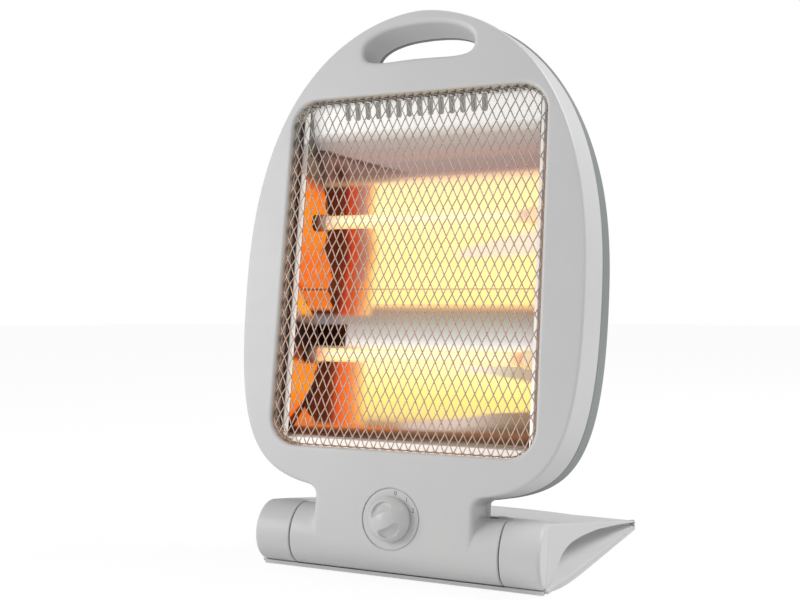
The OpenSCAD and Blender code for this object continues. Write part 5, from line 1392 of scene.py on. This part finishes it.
deck_right = np.stack([side_x[:, 0], side_y[:, 0]], -1)
deck_front = np.stack([np.linspace(DRUM_OUT - OUTER_EDGE, SLOT_END, 10)[:-1],
                       np.full(9, top_y)], -1)
deck_rear = np.stack([rear_path_x[:, 0], rear_path_y[:, 0]], -1)
deck_outline = np.concatenate([slot_path, (deck_front * (-1, 1))[::-1],
                               (deck_right * (-1, 1))[1:], deck_rear[::-1][1:-1],
                               deck_right[::-1], deck_front[1:]])
apart = np.linalg.norm(deck_outline - np.roll(deck_outline, 1, 0), axis=1) > 1e-4
deck_outline = deck_outline[apart]
deck_fill = spread_points((-124, 6), (125, 206), (7, 7), deck_outline, [], 2.2)
deck_sheet = filled(deck_outline, [], deck_fill, lambda x, y: standing(x, y, deck_z(y)))
stand_patches = [deck_sheet, sheet(stand_rear), sheet(slot_wall)]
for patch in (sheet(drum), sheet(stand_side)):
    stand_patches += [patch, mirrored(patch)]
stand_finish = Finish("stand_plastic", Specular_IOR_Level=0.42, Coat_Weight=0.12,
                      Coat_Roughness=0.25)
moulded(stand_finish, (213, 213, 213), 0.36)
stand_top = build("stand_moulding", stand_patches, stand_finish.material, sharp=40,
                  facing=(0, 0, 1))
walled(stand_top, SHELL_WALL)
evened(stand_top)
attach(stand_top, "stand")
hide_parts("stand_top")

# ---- Floor plate and feet --------------------------------------------------------------------
# A flat plate of the same plastic closes the foot from below; its front rim shows as a thin
# light line under the barrel. Four small rubber feet stand it clear of the table.


def dressed(finish_of, *nodes):
    """Each named node of the solid model takes one finish, made once for the group."""
    made = finish_of()
    for node in nodes:
        solid = frame["nodes"][node]
        if not solid.material_slots:
            solid.data.materials.append(made)
        for place in solid.material_slots:
            place.material = made


def floor_plastic():
    """The stand's plastic, left a little duller."""
    plastic = Finish("floor_plastic", Specular_IOR_Level=0.4)
    return moulded(plastic, (212, 212, 212), 0.45)


def foot_rubber():
    """Dusty black rubber."""
    rubber = Finish("foot_rubber", Specular_IOR_Level=0.3)
    dust = rubber.grain(420.0, 4.0)
    return rubber.feed(Base_Color=rubber.blend(dust, seen_colour(38, 38, 40), seen_colour(66, 65, 64)),
                       Roughness=dust * 0.2 + 0.68, Normal=rubber.bump(rubber.grain(2600.0), 0.3, 0.00008))


dressed(floor_plastic, "floor_plate")
dressed(foot_rubber, "rubber_feet", "cord_gland")

# ---- Caps, retainers and heat shield ---------------------------------------------------------
# Glazed ceramic caps carry the tubes' ends in the end plates: grey where they look into the
# trough, and painted shade dark beside the plate. The right ones are painted paler, with a
# painted glow of the tubes' light. Spring plates hold them from outside, and a galvanised
# shield behind the troughs carries the thermal cut-out.


def lit_and_shaded_ceramic():
    """Glazed ceramic, banded by how far out along the tube it lies, with painted shade and light."""
    ceramic = Finish("lit_and_shaded_ceramic", Specular_IOR_Level=0.45, Coat_Weight=0.2, Coat_Roughness=0.3)
    cap_x, _, _ = head_axes(ceramic)
    cap_mottle = ceramic.grain(160.0, 5.0)
    cap_out = abs(cap_x)
    lit_right_caps = ceramic.fade(cap_x, 0.0, 1.0)
    tone = banded(ceramic, cap_out + (cap_mottle - 0.5) * 4, (74, (214, 206, 200)),
                  (79, (176, 164, 158)), (82, (120, 98, 90)), (84, (58, 36, 32)),
                  (87, (50, 32, 28)), (89, (206, 198, 188)), (98, (222, 216, 206)))
    tone = ceramic.blend(lit_right_caps, tone, seen_colour(236, 226, 210))
    ceramic.shader.inputs["Emission Strength"].default_value = 1.0
    in_trough = 1 - ceramic.fade(cap_out, 86.9, 87.2)
    caught = ceramic.blend(lit_right_caps * in_trough, (0.0, 0.0, 0.0), seen_colour(176, 160, 112))
    return ceramic.feed(Base_Color=tone, Emission_Color=caught, Roughness=cap_mottle * 0.3 + 0.35,
                        Normal=ceramic.bump(ceramic.grain(900.0, 3.0), 0.15, 0.0001))


def galvanised():
    """Zinc: overlapping crystal flakes that differ a little in grey and in gloss."""
    zinc = Finish("galvanised_steel", Metallic=1.0)
    flake = zinc.node("ShaderNodeTexVoronoi", {"feature": "F1"}, Vector=zinc.place(),
                      Scale=210.0, out="Color")
    tint = zinc.node("ShaderNodeSeparateXYZ", {}, flake, out=0)
    return zinc.feed(Base_Color=zinc.blend(tint, seen_colour(150, 152, 156), seen_colour(196, 197, 198)),
                     Roughness=tint * 0.18 + 0.34, Normal=zinc.bump(zinc.grain(900.0), 0.12, 0.00005))


def spring_strip():
    """Bright steel strip with drawing marks."""
    strip = Finish("spring_steel", Metallic=1.0)
    drawn = strip.grain(500.0, 3.0, at=strip.stretched(0.15, 1.0, 1.0))
    return strip.feed(Base_Color=strip.blend(drawn, seen_colour(128, 124, 122), seen_colour(184, 180, 176)),
                      Roughness=drawn * 0.2 + 0.26, Normal=strip.bump(drawn, 0.2, 0.00003))


dressed(lit_and_shaded_ceramic, "ceramic_caps_left", "ceramic_caps_right")
dressed(galvanised, "heat_shield")
dressed(spring_strip, "cap_retainers_left", "cap_retainers_right", "wave_washers", "retaining_rings",
        "tip_spring")

# ---- Switches and wiring ---------------------------------------------------------------------
# The rotary switch and the tip-over switch are black mouldings with brass tabs; the terminal
# block is white steatite. The leads run in braided glass sleeves, tan on the hot side.


def black_moulding():
    """Black plastic with a slight cloud in its gloss."""
    black = Finish("black_moulding", Specular_IOR_Level=0.45)
    cloud = black.grain(60.0, 4.0)
    return black.feed(Base_Color=black.blend(cloud, seen_colour(30, 30, 32), seen_colour(46, 46, 48)),
                      Roughness=cloud * 0.2 + 0.36, Normal=black.bump(black.grain(2200.0), 0.2, 0.00005))


def tab_brass():
    """Brass, tarnished in patches."""
    brass = Finish("tab_brass", Metallic=1.0)
    tarnish = brass.grain(340.0, 4.0)
    return brass.feed(Base_Color=brass.blend(tarnish, seen_colour(150, 112, 52), seen_colour(214, 178, 98)),
                      Roughness=tarnish * 0.25 + 0.25, Normal=brass.bump(tarnish, 0.1, 0.00003))


def zinc_plate():
    """Bright zinc plating with a haze."""
    zinc = Finish("bright_zinc", Metallic=1.0)
    haze = zinc.grain(480.0, 4.0)
    return zinc.feed(Base_Color=zinc.blend(haze, seen_colour(168, 166, 158), seen_colour(208, 208, 210)),
                     Roughness=haze * 0.22 + 0.24, Normal=zinc.bump(zinc.grain(1800.0), 0.1, 0.00003))


def white_steatite():
    """White steatite, speckled and dull."""
    stone = Finish("white_steatite", Specular_IOR_Level=0.4)
    speck = stone.grain(520.0, 5.0)
    return stone.feed(Base_Color=stone.blend(speck, seen_colour(212, 206, 194), seen_colour(232, 228, 220)),
                      Roughness=speck * 0.2 + 0.45, Normal=stone.bump(speck, 0.2, 0.00008))


def braided_sleeve():
    """Two crossing diagonal waves make the braid's over-and-under bumps and shade them."""
    braid = Finish("braided_sleeve", Specular_IOR_Level=0.2)
    waves = [braid.node("ShaderNodeTexWave", {"wave_profile": "SIN", "bands_direction": way},
                        Vector=braid.place(), Scale=260.0, Distortion=1.5) for way in ("X", "Z")]
    weave = waves[0] * waves[1]
    return braid.feed(Base_Color=braid.blend(weave, seen_colour(120, 92, 64), seen_colour(186, 160, 122)),
                      Roughness=weave * 0.15 + 0.62, Normal=braid.bump(weave, 0.5, 0.0002))


def plunger_plastic():
    """Off-white plastic."""
    white = Finish("plunger_plastic", Specular_IOR_Level=0.4)
    return moulded(white, (228, 228, 224), 0.35)


dressed(black_moulding, "switch_body", "tip_switch_body", "thermal_cutout")
dressed(tab_brass, "switch_terminals")
dressed(zinc_plate, "switch_nut", "switch_shaft", "hinge_sleeves", "shell_screws", "reflector_screws",
        "stand_screws")
dressed(white_steatite, "terminal_block")
dressed(braided_sleeve, "leads_left", "leads_right", "switch_lead", "tip_switch_lead")
dressed(plunger_plastic, "tip_plunger")
